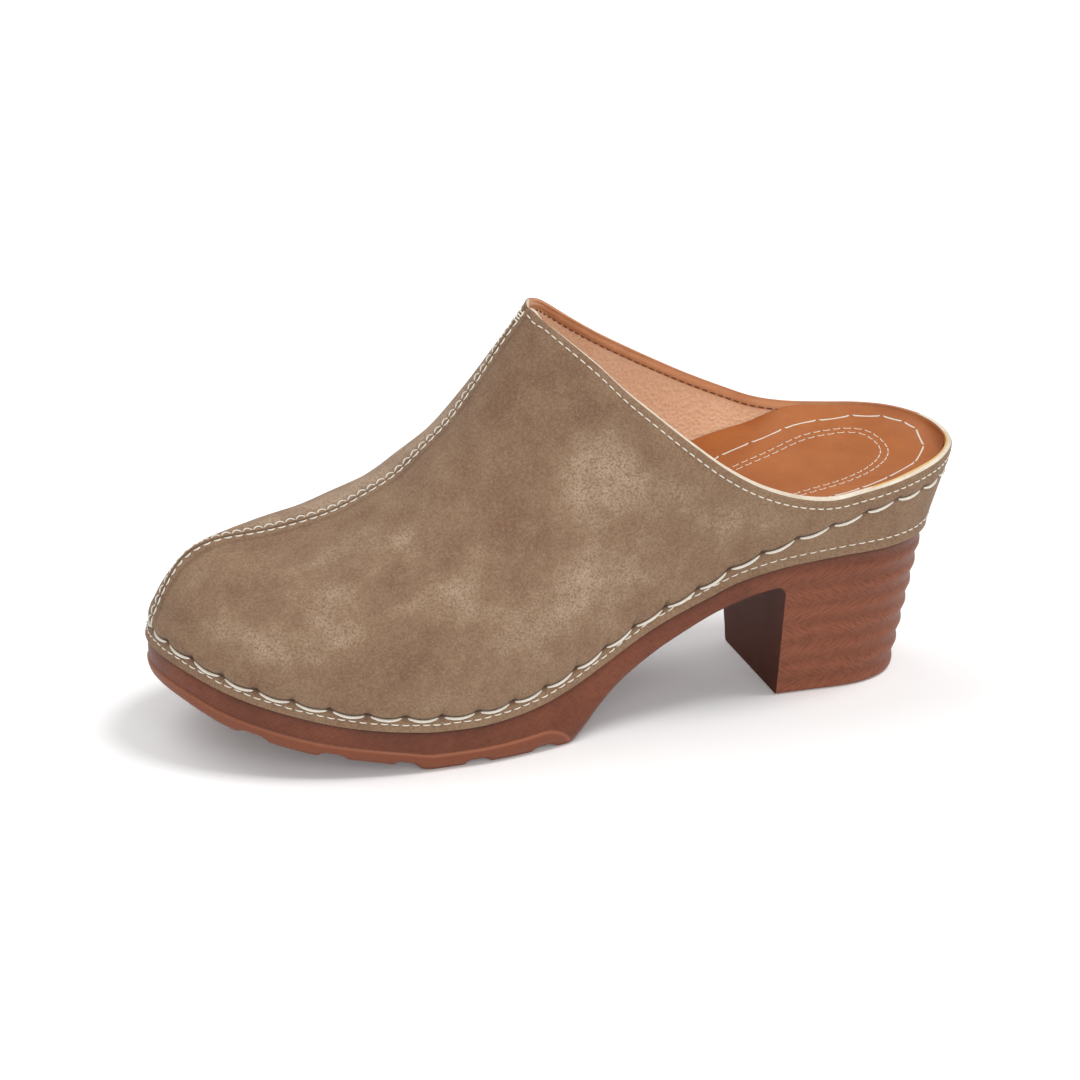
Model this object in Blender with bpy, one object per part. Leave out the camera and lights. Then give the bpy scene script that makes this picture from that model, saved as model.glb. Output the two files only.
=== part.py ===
"""Block heel mule for the left foot: hollow upper, footbed, and a moulded sole with a ribbed block heel.

Metres, +Z up, +X to the toe, +Y to the little-toe (lateral) side. The floor is z = 0.
"""
import math

import bmesh
import bpy
import numpy as np

# Driving sizes of the shoe
LENGTH = 0.2440          # tip of the sole to the plane x = 0, just inside the collar's back
BALL_WIDTH = 0.090       # sole's top edge across the ball
HEEL_HEIGHT = 0.0455     # floor to the sole's top edge at the back
PLATFORM = 0.012         # floor to the sole's top edge under the ball
TOE_LIFT = 0.0195        # rise of the top edge from the ball to the toe tip
INSTEP_HEIGHT = 0.1215   # floor to the peak of the vamp
HEEL_SET = 0.007         # the sole's back is this far ahead of that plane

# Wall, clearances and overlays
WALL = 0.0018            # leather and lining together
CLEARANCE = 0.0003       # gap between touching pieces
BED_CLEARANCE = 0.00035  # gap round the curved side of the footbed
RAND_OVERHANG = 0.0003   # lower edge of the upper stands past the sole
RAND_FLARE = 0.0005      # extra flare of that edge
GROOVE_DEPTH = 0.0008    # channel of the saddle stitch, cut into the wall
PUFF_HEIGHT = 0.0005     # leather swells just above the channel
CHANNEL_HALF = 0.0014    # half width of the channel
SEAM_RISE = 0.0004       # centre seam stands proud of the vamp
SEAM_HALF = 0.0024       # half width of the centre seam and depth of the collar's edge band
SHORT_CHANNEL = 0.2      # on a low rib the channel takes at most this share of the vamp's height
SHORT_BAND = 0.35        # and the edge band at most this share

# Footbed
BED_HEEL = 0.0185        # depth of the footbed at the heel

# Heel block and outsole
HEEL_DEPTH = 0.0525      # back of the sole to the breast of the heel
BREAST_FILLET = 0.003
BASE_INSET = 0.0087      # the heel's base lies this far inside the sole's top edge
RIB_COUNT = 6            # ribs between the plain bands at the heel's top and base
RIB_DEPTH = 0.0011
TOP_BAND = 0.0026        # plain band over the ribs
BASE_BAND = 0.0045       # plain band under the ribs
BASE_EDGE = 0.0012       # rounded lower edge of the heel
RIB_FRONT = 0.3          # the ribs' depth at the breast, as a share of that at the back
BLEND = 0.016            # the sole's side turns into the heel's side over this length
STEP_OUT = 0.0005        # the sole's lower band stands proud of its side
EDGE_TUCK = 0.0019       # lower edge of the sole lies inside its top edge
STEP_START = 0.47        # share of the length where the sole's lower band begins
STEP_FADE = 0.10
LUG_PITCH = 0.0215
LUG_GROOVES = 5
LUG_GROOVE_WIDTH = 0.0048
LUG_GROOVE_SIDE = 0.0018  # length of each sloped side of a groove
LUG_GROOVE_DEPTH = 0.0017
FIRST_LUG_GROOVE = 0.137  # from the plane x = 0

# Round ends of the outline: where each cap starts, as shares of the length, and its fullness
TOE_CAP_LATERAL = 0.716
TOE_CAP_MEDIAL = 0.748
HEEL_CAP = 0.172
TOE_FULLNESS = 2.06
HEEL_FULLNESS = 2.3

# Outline of the sole's top edge: places as shares of the length, half widths of the ball width
OUTLINE_COLUMNS = ("along", "lateral", "medial")
OUTLINE = (
    (0.172, 0.346, 0.346),
    (0.245, 0.348, 0.346),
    (0.327, 0.355, 0.335),
    (0.389, 0.367, 0.328),
    (0.450, 0.393, 0.337),
    (0.511, 0.431, 0.369),
    (0.573, 0.474, 0.413),
    (0.634, 0.503, 0.454),
    (0.716, 0.512, 0.483),
    (0.748, 0.512, 0.488),
)

# Top edge of the sole: shares of the heel's rise and of the toe's rise above the platform
EDGE_COLUMNS = ("along", "heel", "toe")
EDGE = (
    (0.000, 1.015, 0.00),
    (0.135, 1.015, 0.00),
    (0.230, 0.975, 0.00),
    (0.307, 0.880, 0.00),
    (0.348, 0.770, 0.00),
    (0.429, 0.540, 0.00),
    (0.511, 0.240, 0.00),
    (0.552, 0.125, 0.00),
    (0.600, 0.045, 0.00),
    (0.660, 0.000, 0.00),
    (0.700, 0.000, 0.01),
    (0.745, 0.000, 0.07),
    (0.805, 0.000, 0.19),
    (0.871, 0.000, 0.39),
    (0.931, 0.000, 0.62),
    (0.982, 0.000, 0.89),
    (1.000, 0.000, 0.97),
)

# Lower edge of the sole from the breast to the toe: shares of the heel height and of the toe's rise
BASE_COLUMNS = ("along", "heel", "toe")
BASE = (
    (0.245, 0.825, 0.00),
    (0.272, 0.800, 0.00),
    (0.323, 0.725, 0.00),
    (0.378, 0.595, 0.00),
    (0.421, 0.475, 0.00),
    (0.459, 0.345, 0.00),
    (0.488, 0.205, 0.00),
    (0.511, 0.070, 0.00),
    (0.530, 0.000, 0.00),
    (0.704, 0.000, 0.00),
    (0.742, 0.000, 0.11),
    (0.785, 0.000, 0.22),
    (0.849, 0.000, 0.36),
    (0.903, 0.000, 0.54),
    (0.943, 0.000, 0.70),
    (0.985, 0.000, 0.95),
    (1.000, 0.000, 1.03),
)

# Side of the sole: depth from the top edge as a share, outward offset in shares of the tuck and step
SIDE_COLUMNS = ("depth", "tuck", "step")
SIDE = (
    (0.00, 0.10, 0.0),
    (0.07, 0.00, 0.0),
    (0.32, -0.06, 0.0),
    (0.57, 0.03, 0.0),
    (0.61, 0.03, 1.0),
    (0.84, 0.32, 1.0),
    (1.00, 1.00, 0.0),
)

# Centre seam from the toe tip to the vamp's peak: shares of the length and of the instep height
SEAM_COLUMNS = ("along", "height")
SEAM = (
    (1.0015, 0.262),
    (0.999, 0.293),
    (0.991, 0.353),
    (0.982, 0.391),
    (0.965, 0.447),
    (0.949, 0.474),
    (0.928, 0.492),
    (0.907, 0.500),
    (0.867, 0.505),
    (0.828, 0.515),
    (0.777, 0.537),
    (0.735, 0.572),
    (0.698, 0.612),
    (0.662, 0.675),
    (0.632, 0.731),
    (0.596, 0.826),
    (0.560, 0.931),
    (0.534, 1.000),
)
SEAM_CORNER = 0.17       # share of the seam, from the tip, that is the toe's own rib

# Collar from the vamp's peak to its back: shares of length, of ball width and of instep height
COLLAR_COLUMNS = ("along", "lateral", "lateral_height", "medial", "medial_height")
COLLAR = (
    (0.534, 0.000, 1.000, 0.000, 1.000),
    (0.530, 0.048, 0.995, 0.048, 1.003),
    (0.519, 0.101, 0.977, 0.101, 0.996),
    (0.499, 0.168, 0.944, 0.163, 0.976),
    (0.470, 0.242, 0.892, 0.225, 0.932),
    (0.442, 0.292, 0.834, 0.270, 0.888),
    (0.409, 0.334, 0.775, 0.312, 0.840),
    (0.368, 0.368, 0.703, 0.344, 0.788),
    (0.327, 0.389, 0.637, 0.361, 0.740),
    (0.286, 0.400, 0.587, 0.372, 0.695),
    (0.239, 0.405, 0.551, 0.378, 0.649),
    (0.196, 0.400, 0.536, 0.378, 0.612),
    (0.155, 0.390, 0.543, 0.371, 0.593),
    (0.110, 0.366, 0.553, 0.354, 0.585),
    (0.062, 0.312, 0.566, 0.304, 0.586),
    (0.029, 0.237, 0.572, 0.231, 0.587),
    (0.002, 0.121, 0.576, 0.119, 0.583),
    (-0.006, 0.000, 0.579, 0.000, 0.579),
)

# Cross-section ribs by place on the outline, from the toe tip (0) to the heel (1).
# foot and crown are handle lengths as shares of the rib's height and half width, swell leans the
# foot handle outward, drop is the crown handle's slope in degrees below level, lean is the extra
# rise of the big-toe side at the seam, stitch is the channel's height above the edge in metres.
RIB_COLUMNS = ("place", "foot", "crown", "swell", "drop", "lean", "stitch")
RIBS = (
    (0.00, 0.34, 0.47, -0.01, 0.0, 0.08, 0.0041),
    (0.12, 0.45, 0.58, 0.06, 0.0, 0.20, 0.0036),
    (0.25, 0.50, 0.60, 0.08, 0.0, 0.04, 0.0038),
    (0.38, 0.46, 0.55, 0.06, 0.0, -0.07, 0.0038),
    (0.46, 0.42, 0.54, 0.03, 4.0, -0.02, 0.0040),
    (0.52, 0.40, 0.50, 0.01, 12.0, 0.00, 0.0038),
    (0.62, 0.36, 0.30, 0.00, 58.0, 0.00, 0.0032),
    (0.72, 0.34, 0.30, 0.00, 84.0, 0.00, 0.0060),
    (0.78, 0.33, 0.30, 0.02, 92.0, 0.00, 0.0114),
    (0.84, 0.33, 0.30, 0.04, 97.0, 0.00, 0.0174),
    (0.90, 0.33, 0.30, 0.08, 100.0, 0.00, 0.0189),
    (1.00, 0.33, 0.30, 0.14, 102.0, 0.00, 0.0188),
)
PEAK_PLACE = 0.52        # place on the outline of the rib that ends at the vamp's peak
COLLAR_SPREAD = 1.35     # crowds the ribs' upper ends towards the heel
SEAM_FOLLOW = 0.6        # how far the crown handles run along the seam
PUFF_END = 0.72          # place where the swell over the channel has faded
HEEL_GROOVE = 0.4        # the channel's depth behind that place, as a share of its full depth

# Footbed above the sole: shares of its depth at the heel
BED_COLUMNS = ("along", "centre", "lateral_rim", "medial_rim")
BED = (
    (0.000, 1.00, 1.14, 1.14),
    (0.080, 1.00, 1.09, 1.22),
    (0.150, 0.98, 0.99, 1.24),
    (0.200, 0.94, 0.95, 1.18),
    (0.290, 0.85, 0.85, 1.08),
    (0.370, 0.70, 0.69, 0.95),
    (0.450, 0.60, 0.57, 0.82),
    (0.550, 0.54, 0.58, 0.67),
    (0.675, 0.42, 0.48, 0.51),
    (0.820, 0.34, 0.38, 0.38),
    (1.000, 0.24, 0.28, 0.28),
)

BED_FLATNESS = 0.8       # below 1 the dish has a flat middle

# Mesh counts
STATIONS = 40            # ribs on each side of the upper, toe to heel
VAMP_ROWS = 9            # rows between the channel and the edge band
BED_ROWS = 5
BED_STRIPS = 8
SHANK_STEPS = 12
TOP_STRIPS = 4
UNDER_STRIPS = 6
FINE = 240               # samples along a curve when it is measured
KNOT_SAMPLES = 12        # samples between two knots of a curve
RAND_SHARES = (0.0, 0.4, 0.75)  # rows of the rand, as shares of the way up to the channel
TOE_TURNS = (0, 7, 14, 21, 28, 35)  # degrees round the toe cap at the sole's sections
HEEL_TURNS = (15, 30, 42, 54, 64, 73, 82, 90)  # degrees round the heel cap
FILLET_STEP = 0.3        # share of the breast's fillet at its middle section
BASE_CORNER = 0.7        # the heel's rounded lower edge goes in by this share of its height

# Places in the meshes, worked out from the counts
SIDES = (1, -1)          # lateral, medial
CHANNEL_ROW = 4
TOP_ROW = CHANNEL_ROW + VAMP_ROWS + 2
LAST_STATION = STATIONS + 1
PEAK = round(PEAK_PLACE * STATIONS) + 1
SEAM_RIB = 0.5 * SEAM_HALF / LENGTH  # place of the rib beside the centre seam
BREAST = HEEL_SET + HEEL_DEPTH
RIB_RISE = (HEEL_HEIGHT - TOP_BAND - BASE_BAND) / RIB_COUNT
SHANK_LINE = HEEL_HEIGHT - TOP_BAND - 4.0 * RIB_RISE / 3.0


def column(rows, names, name):
    """One named column of a table as an array."""
    return np.array([row[names.index(name)] for row in rows], dtype=float)


def smooth_read(xs, ys, x):
    """Monotone cubic through hand-chosen points, level beyond both ends."""
    gaps = np.diff(xs)
    slopes = np.diff(ys) / gaps
    tangents = np.zeros(len(xs))
    for k in range(1, len(xs) - 1):
        before, after = slopes[k - 1], slopes[k]
        if before * after > 0.0:
            early = 2.0 * gaps[k] + gaps[k - 1]
            late = gaps[k] + 2.0 * gaps[k - 1]
            tangents[k] = (early + late) / (early / before + late / after)
    tangents[0] = slopes[0]
    tangents[-1] = slopes[-1]
    x = min(max(x, xs[0]), xs[-1])
    k = min(int(np.searchsorted(xs, x, side="right")) - 1, len(xs) - 2)
    t = (x - xs[k]) / gaps[k]
    start = (1.0 + 2.0 * t) * (1.0 - t) ** 2 * ys[k] + t * (1.0 - t) ** 2 * gaps[k] * tangents[k]
    end = t * t * (3.0 - 2.0 * t) * ys[k + 1] + t * t * (t - 1.0) * gaps[k] * tangents[k + 1]
    return float(start + end)


def read(rows, names, name, x):
    """A table's column at x, where the first column holds the places."""
    return smooth_read(column(rows, names, names[0]), column(rows, names, name), x)


def smooth_path(points, before, after):
    """Round curve through points, sampled evenly by length; before and after shape its ends."""
    knots = [np.array(p, dtype=float) for p in [before, *points, after]]
    samples = []
    for k in range(1, len(knots) - 2):
        a, b, c, d = knots[k - 1], knots[k], knots[k + 1], knots[k + 2]
        into = math.sqrt(np.linalg.norm(b - a))
        along = math.sqrt(np.linalg.norm(c - b))
        out = math.sqrt(np.linalg.norm(d - c))
        first = ((b - a) / into - (c - a) / (into + along) + (c - b) / along) * along
        last = ((c - b) / along - (d - b) / (along + out) + (d - c) / out) * along
        for t in np.linspace(0.0, 1.0, KNOT_SAMPLES, endpoint=False):
            samples.append((2 * t**3 - 3 * t**2 + 1) * b + (t**3 - 2 * t**2 + t) * first
                           + (3 * t**2 - 2 * t**3) * c + (t**3 - t**2) * last)
    samples.append(knots[-2])
    return resample(np.array(samples), np.linspace(0.0, 1.0, FINE))


def lengths(points):
    """Running length along a polyline."""
    return np.concatenate([[0.0], np.cumsum(np.linalg.norm(np.diff(points, axis=0), axis=1))])


def resample(points, shares):
    """Points at the given shares of a polyline's length."""
    run = lengths(points)
    return np.stack([np.interp(np.array(shares) * run[-1], run, points[:, k])
                     for k in range(points.shape[1])], axis=1)


def half_width(x, side):
    """Half width of the sole's top edge at x; side is 1 for lateral and -1 for medial."""
    name = "lateral" if side > 0 else "medial"
    body = BALL_WIDTH * read(OUTLINE, OUTLINE_COLUMNS, name, x / LENGTH)
    toe_start = LENGTH * (TOE_CAP_LATERAL if side > 0 else TOE_CAP_MEDIAL)
    heel_start = LENGTH * HEEL_CAP
    if x > toe_start:
        reach = min((x - toe_start) / (LENGTH - toe_start), 1.0)
        body *= math.sqrt(max(1.0 - reach ** TOE_FULLNESS, 0.0))
    if x < heel_start:
        reach = min((heel_start - x) / (heel_start - HEEL_SET), 1.0)
        body *= math.sqrt(max(1.0 - reach ** HEEL_FULLNESS, 0.0))
    return body


def edge_height(x):
    """Height of the sole's top edge."""
    heel = read(EDGE, EDGE_COLUMNS, "heel", x / LENGTH)
    toe = read(EDGE, EDGE_COLUMNS, "toe", x / LENGTH)
    return PLATFORM + (HEEL_HEIGHT - PLATFORM) * heel + TOE_LIFT * toe


def base_height(x):
    """Height of the sole's lower edge ahead of the heel, without its lugs."""
    heel = read(BASE, BASE_COLUMNS, "heel", x / LENGTH)
    toe = read(BASE, BASE_COLUMNS, "toe", x / LENGTH)
    return HEEL_HEIGHT * heel + TOE_LIFT * toe


def outline_point(x, side, offset=0.0):
    """Plan point of the sole's edge at x, moved outward by offset."""
    small = LENGTH * 1e-4
    low = max(x - small, HEEL_SET)
    high = min(x + small, LENGTH)
    tangent = np.array([high - low, side * (half_width(high, side) - half_width(low, side))])
    normal = np.array([-tangent[1], tangent[0]]) * side / np.linalg.norm(tangent)
    if x >= LENGTH:
        normal = np.array([1.0, 0.0])
    if x <= HEEL_SET:
        normal = np.array([-1.0, 0.0])
    return np.array([x, side * half_width(x, side)]) + normal * offset


def outline_stations(side, shares):
    """Places along X at shares of the outline's length, from the toe to the heel."""
    turns = np.linspace(0.0, math.pi, FINE)
    xs = HEEL_SET + (LENGTH - HEEL_SET) * 0.5 * (1.0 + np.cos(turns))
    run = lengths(np.array([[x, half_width(x, side)] for x in xs]))
    return np.interp(np.array(shares) * run[-1], run, xs)


def seam_path():
    """Centre seam, from the toe tip to the vamp's peak."""
    along = column(SEAM, SEAM_COLUMNS, "along") * LENGTH
    height = column(SEAM, SEAM_COLUMNS, "height") * INSTEP_HEIGHT
    points = np.stack([along, 0.0 * along, height], axis=1)
    return smooth_path(points, 2.0 * points[0] - points[1], 2.0 * points[-1] - points[-2])


def collar_points(side):
    """Knots of one side's collar edge, from the vamp's peak to its back."""
    name = "lateral" if side > 0 else "medial"
    along = column(COLLAR, COLLAR_COLUMNS, "along") * LENGTH
    across = column(COLLAR, COLLAR_COLUMNS, name) * BALL_WIDTH * side
    height = column(COLLAR, COLLAR_COLUMNS, name + "_height") * INSTEP_HEIGHT
    return list(np.stack([along, across, height], axis=1))


def collar_path(side):
    """Collar edge of one side; the other side's knots keep it round at both ends."""
    other = collar_points(-side)
    return smooth_path(collar_points(side), other[1], other[-2])


def rib_curve(place, side, foot, top, top_slope):
    """Smooth rib of the upper, a cubic curve from the sole's edge to the seam or the collar."""
    foot_share = read(RIBS, RIB_COLUMNS, "foot", place)
    crown_share = read(RIBS, RIB_COLUMNS, "crown", place)
    swell = read(RIBS, RIB_COLUMNS, "swell", place)
    drop = math.radians(read(RIBS, RIB_COLUMNS, "drop", place))
    lean = read(RIBS, RIB_COLUMNS, "lean", place)
    rise = top[2] - foot[2]
    outward = outline_point(foot[0], side, 1.0) - outline_point(foot[0], side)
    first = foot + rise * np.array([outward[0] * swell, outward[1] * swell, foot_share])
    forward = foot[0] - top[0]
    across = abs(foot[1] - top[1])
    if place <= PEAK_PLACE:
        along = SEAM_FOLLOW * crown_share * forward
        width = crown_share * across
        fall = width * (math.tan(drop) + lean * side) - along * top_slope
        second = top + np.array([along, side * width, -fall])
    else:
        handle = crown_share * (math.hypot(forward, across) * math.cos(drop) ** 2 + rise * math.sin(drop) ** 2)
        turn = min(1.0, max(0.0, (place - PEAK_PLACE) / (1.0 - PEAK_PLACE) * 2.0))
        level = turn * outward + (1.0 - turn) * np.array([0.0, float(side)])
        second = top + handle * np.array([level[0] * math.cos(drop), level[1] * math.cos(drop),
                                          -math.sin(drop)])
    t = np.linspace(0.0, 1.0, FINE // 4)[:, None]
    return ((1 - t) ** 3 * foot + 3 * (1 - t) ** 2 * t * first
            + 3 * (1 - t) * t ** 2 * second + t ** 3 * top)


def row_distances(total, stitch):
    """Distances up a rib of the mesh rows: rand, channel, vamp and edge band."""
    above = total - stitch
    half = min(CHANNEL_HALF, SHORT_CHANNEL * above)
    band = min(SEAM_HALF, SHORT_BAND * above)
    rand = [share * (stitch - half) for share in RAND_SHARES]
    vamp = np.linspace(stitch + half, total - band, VAMP_ROWS + 1)
    return np.array([*rand, stitch - half, stitch, *vamp, total])


def station_shares():
    """Shares of the outline at the upper's ribs, with one more rib beside the centre seam."""
    shares = np.linspace(0.0, 1.0, STATIONS + 1)
    return np.insert(shares, 1, SEAM_RIB)


def rib_grid(side):
    """Points of the upper's smooth surface: one rib for each station, from the toe to the heel."""
    shares = station_shares()
    xs = outline_stations(side, shares)
    seam = seam_path()
    corner = int(SEAM_CORNER * len(seam))
    vamp_shares = shares[:PEAK + 1] / shares[PEAK]
    seam_tops = resample(seam[corner:], vamp_shares)
    back = (shares[PEAK:] - shares[PEAK]) / (1.0 - shares[PEAK])
    collar_tops = resample(collar_path(side), 1.0 - (1.0 - back) ** COLLAR_SPREAD)
    tops = np.concatenate([seam_tops, collar_tops[1:]])
    steps = np.gradient(seam_tops, axis=0)
    grid = []
    for i, (x, place) in enumerate(zip(xs, shares)):
        plan = outline_point(x, side, RAND_OVERHANG)
        foot = np.array([plan[0], plan[1], edge_height(x) + CLEARANCE])
        if i == 0:
            curve = np.concatenate([[foot], seam[:corner + 1]])
        else:
            slope = steps[i][2] / min(steps[i][0], -1e-5) if i <= PEAK else 0.0
            curve = rib_curve(place, side, foot, tops[i], slope)
        run = lengths(curve)
        rows = row_distances(run[-1], read(RIBS, RIB_COLUMNS, "stitch", place))
        grid.append([[np.interp(row, run, curve[:, k]) for k in range(3)] for row in rows])
    return np.array(grid)


def is_shared(i, j):
    """True for the points that both sides hold: toe rib, heel rib and centre seam."""
    return i == 0 or i == LAST_STATION or (j == TOP_ROW and i <= PEAK)


def upper_skin():
    """Smooth surface and outward normals of both sides, equal where the sides meet."""
    skin = {}
    for side in SIDES:
        grid = rib_grid(side)
        normals = np.cross(np.gradient(grid, axis=0), np.gradient(grid, axis=1)) * side
        normals /= np.linalg.norm(normals, axis=2, keepdims=True)
        skin[side] = (grid, normals)
    for i in range(LAST_STATION + 1):
        for j in range(TOP_ROW + 1):
            if is_shared(i, j):
                mean = skin[1][1][i, j] + skin[-1][1][i, j]
                if (i, j) == (0, TOP_ROW):
                    mean = skin[1][1][i, j - 1] + skin[-1][1][i, j - 1] + skin[1][1][2, j]
                if i in (0, LAST_STATION):
                    mean[1] = 0.0
                skin[1][1][i, j] = mean / np.linalg.norm(mean)
                skin[-1][1][i, j] = skin[1][1][i, j]
    return skin


def relief(i, j, place):
    """Height of the forms on the wall's outer face: flared rand, channel, swell over it and seam."""
    fade = min(1.0, max(0.0, (PUFF_END - place) / 0.1))
    rise = {0: RAND_FLARE,
            CHANNEL_ROW: -GROOVE_DEPTH * (HEEL_GROOVE + (1.0 - HEEL_GROOVE) * fade),
            CHANNEL_ROW + 1: 0.6 * PUFF_HEIGHT * fade,
            CHANNEL_ROW + 2: PUFF_HEIGHT * fade}.get(j, 0.0)
    if (i == 0 and j > CHANNEL_ROW) or (j == TOP_ROW and i <= PEAK):
        rise += SEAM_RISE
    return rise


class Shape:
    """Vertices and faces of one closed solid, with vertices found again by name."""

    def __init__(self):
        self.vertices = []
        self.index = {}
        self.faces = []

    def vertex(self, key, point):
        if key not in self.index:
            self.index[key] = len(self.vertices)
            self.vertices.append(tuple(float(c) for c in point))
        return self.index[key]

    def face(self, *corners):
        loop = [c for k, c in enumerate(corners) if c != corners[k - 1]]
        if len(loop) > 2:
            self.faces.append(loop)

    def grid(self, table):
        """Faces of a table of vertex numbers."""
        for first, second in zip(table, table[1:]):
            for k in range(len(first) - 1):
                self.face(first[k], first[k + 1], second[k + 1], second[k])

    def strips(self, name, lefts, rights, point, count):
        """Faces across a shape, between equal lists of vertex numbers on its two sides."""
        table = []
        for k, (left, right) in enumerate(zip(lefts, rights)):
            if left == right:
                table.append([left] * (count + 1))
                continue
            inner = []
            for s in range(1, count):
                inner.append(self.vertex((name, k, s), point(k, left, right, s / count)))
            table.append([left, *inner, right])
        self.grid(table)
        return table

    def between(self, left, right, share):
        """Point on the straight line between two vertices."""
        return (1.0 - share) * np.array(self.vertices[left]) + share * np.array(self.vertices[right])


def make_object(name, shape, material, collection, root):
    """One closed mesh object, smooth but for its sharp edges, under the shoe's root."""
    mesh = bpy.data.meshes.new(name)
    mesh.from_pydata(shape.vertices, [], shape.faces)
    builder = bmesh.new()
    builder.from_mesh(mesh)
    bmesh.ops.recalc_face_normals(builder, faces=builder.faces)
    bmesh.ops.triangulate(builder, faces=[f for f in builder.faces if len(f.verts) > 3])
    builder.to_mesh(mesh)
    builder.free()
    mesh.shade_smooth()
    mesh.set_sharp_from_angle(angle=math.radians(40.0))
    mesh.materials.append(material)
    thing = bpy.data.objects.new(name, mesh)
    thing.parent = root
    collection.objects.link(thing)
    return thing


def build_upper(skin, material, collection, root):
    """Hollow upper: outer face with its forms, smooth lining inside, open at collar and underneath."""
    shape = Shape()
    places = station_shares()
    for side in SIDES:
        grid, normals = skin[side]
        tables = {"outer": [], "inner": []}
        for i in range(LAST_STATION + 1):
            rows = {"outer": [], "inner": []}
            for j in range(TOP_ROW + 1):
                owner = 0 if is_shared(i, j) else side
                outer = grid[i, j] + normals[i, j] * relief(i, j, places[i])
                inner = grid[i, j] - normals[i, j] * WALL
                if j == 0:
                    outer[2] = grid[i, j][2]
                    inner[2] = edge_height(inner[0]) + CLEARANCE
                rows["outer"].append(shape.vertex(("outer", owner, i, j), outer))
                rows["inner"].append(shape.vertex(("inner", owner, i, j), inner))
            tables["outer"].append(rows["outer"])
            tables["inner"].append(rows["inner"])
        shape.grid(tables["outer"])
        shape.grid(tables["inner"])
        for outer, inner, j, first in ((tables["outer"], tables["inner"], 0, 0),
                                       (tables["outer"], tables["inner"], TOP_ROW, PEAK)):
            shape.grid([[outer[i][j], inner[i][j]] for i in range(first, LAST_STATION + 1)])
    return make_object("upper", shape, material, collection, root)


def bed_rim(lining, side):
    """Row position, in rows and parts of a row, where the footbed's rim meets the lining."""
    name = "lateral_rim" if side > 0 else "medial_rim"
    above = []
    for x, _, z in lining:
        rim = edge_height(x) + BED_HEEL * read(BED, BED_COLUMNS, name, x / LENGTH)
        above.append(z - rim)
    for j in range(1, len(above)):
        if above[j] > 0.0:
            return j - above[j] / (above[j] - above[j - 1])
    return float(len(above) - 1)


def build_footbed(skin, material, collection, root):
    """Footbed: stands on the sole, fills the rand and is dished under the heel."""
    shape = Shape()
    walls = {}
    for side in SIDES:
        grid, normals = skin[side]
        table = []
        for i in range(LAST_STATION + 1):
            lining = grid[i] - normals[i] * (WALL + BED_CLEARANCE)
            lining[0][2] = edge_height(lining[0][0]) + CLEARANCE
            rim = bed_rim(lining, side)
            owner = 0 if i in (0, LAST_STATION) else side
            row = []
            for j in range(BED_ROWS + 1):
                position = rim * j / BED_ROWS
                point = [np.interp(position, range(len(lining)), lining[:, k]) for k in range(3)]
                row.append(shape.vertex((owner, i, j), point))
            table.append(row)
        shape.grid(table)
        walls[side] = table

    def top_point(k, left, right, share):
        point = shape.between(left, right, share)
        middle = shape.between(left, right, 0.5)
        centre = edge_height(middle[0]) + BED_HEEL * read(BED, BED_COLUMNS, "centre", middle[0] / LENGTH)
        width = np.linalg.norm(np.array(shape.vertices[left]) - np.array(shape.vertices[right]))
        dish = min(1.0, width / (0.5 * BALL_WIDTH))
        point[2] += dish * (centre - middle[2]) * (4.0 * share * (1.0 - share)) ** BED_FLATNESS
        return point

    def under_point(k, left, right, share):
        point = shape.between(left, right, share)
        point[2] = edge_height(point[0]) + CLEARANCE
        return point

    shape.strips("top", [row[-1] for row in walls[1]], [row[-1] for row in walls[-1]],
                 top_point, BED_STRIPS)
    shape.strips("under", [row[0] for row in walls[1]], [row[0] for row in walls[-1]],
                 under_point, BED_STRIPS // 2)
    return make_object("insole", shape, material, collection, root)


def lug_depth(x):
    """Depth of the cross grooves of the forefoot at x."""
    nearest = min(abs(x - FIRST_LUG_GROOVE - k * LUG_PITCH) for k in range(LUG_GROOVES))
    slope = (0.5 * LUG_GROOVE_WIDTH + LUG_GROOVE_SIDE - nearest) / LUG_GROOVE_SIDE
    return LUG_GROOVE_DEPTH * min(1.0, max(0.0, slope))


def sole_stations():
    """Places of the sole's sections from the toe to the back, with the breast's own station."""
    toe_start = LENGTH * TOE_CAP_MEDIAL
    heel_start = LENGTH * HEEL_CAP
    cap = [toe_start + (LENGTH - toe_start) * math.cos(math.radians(a)) for a in TOE_TURNS]
    lugs = []
    for k in range(LUG_GROOVES):
        centre = FIRST_LUG_GROOVE + k * LUG_PITCH
        for reach in (0.5 * LUG_GROOVE_WIDTH, 0.5 * LUG_GROOVE_WIDTH + LUG_GROOVE_SIDE):
            lugs += [centre - reach, centre + reach]
        if k > 0:
            lugs.append(centre - 0.5 * LUG_PITCH)
    shank_start = FIRST_LUG_GROOVE - 0.5 * LUG_GROOVE_WIDTH - LUG_GROOVE_SIDE
    shank_end = BREAST + BREAST_FILLET
    shank = [shank_start - (shank_start - shank_end) * k / SHANK_STEPS for k in range(1, SHANK_STEPS + 1)]
    fillet = [BREAST + FILLET_STEP * BREAST_FILLET, BREAST]
    seat = [BREAST + (heel_start - BREAST) * k / 2 for k in (1, 2)]
    back = [heel_start - (heel_start - HEEL_SET) * math.sin(math.radians(a)) for a in HEEL_TURNS]
    return sorted({round(x, 6) for x in [*cap, *lugs, *shank, *fillet, *seat, *back]}, reverse=True)


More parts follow.
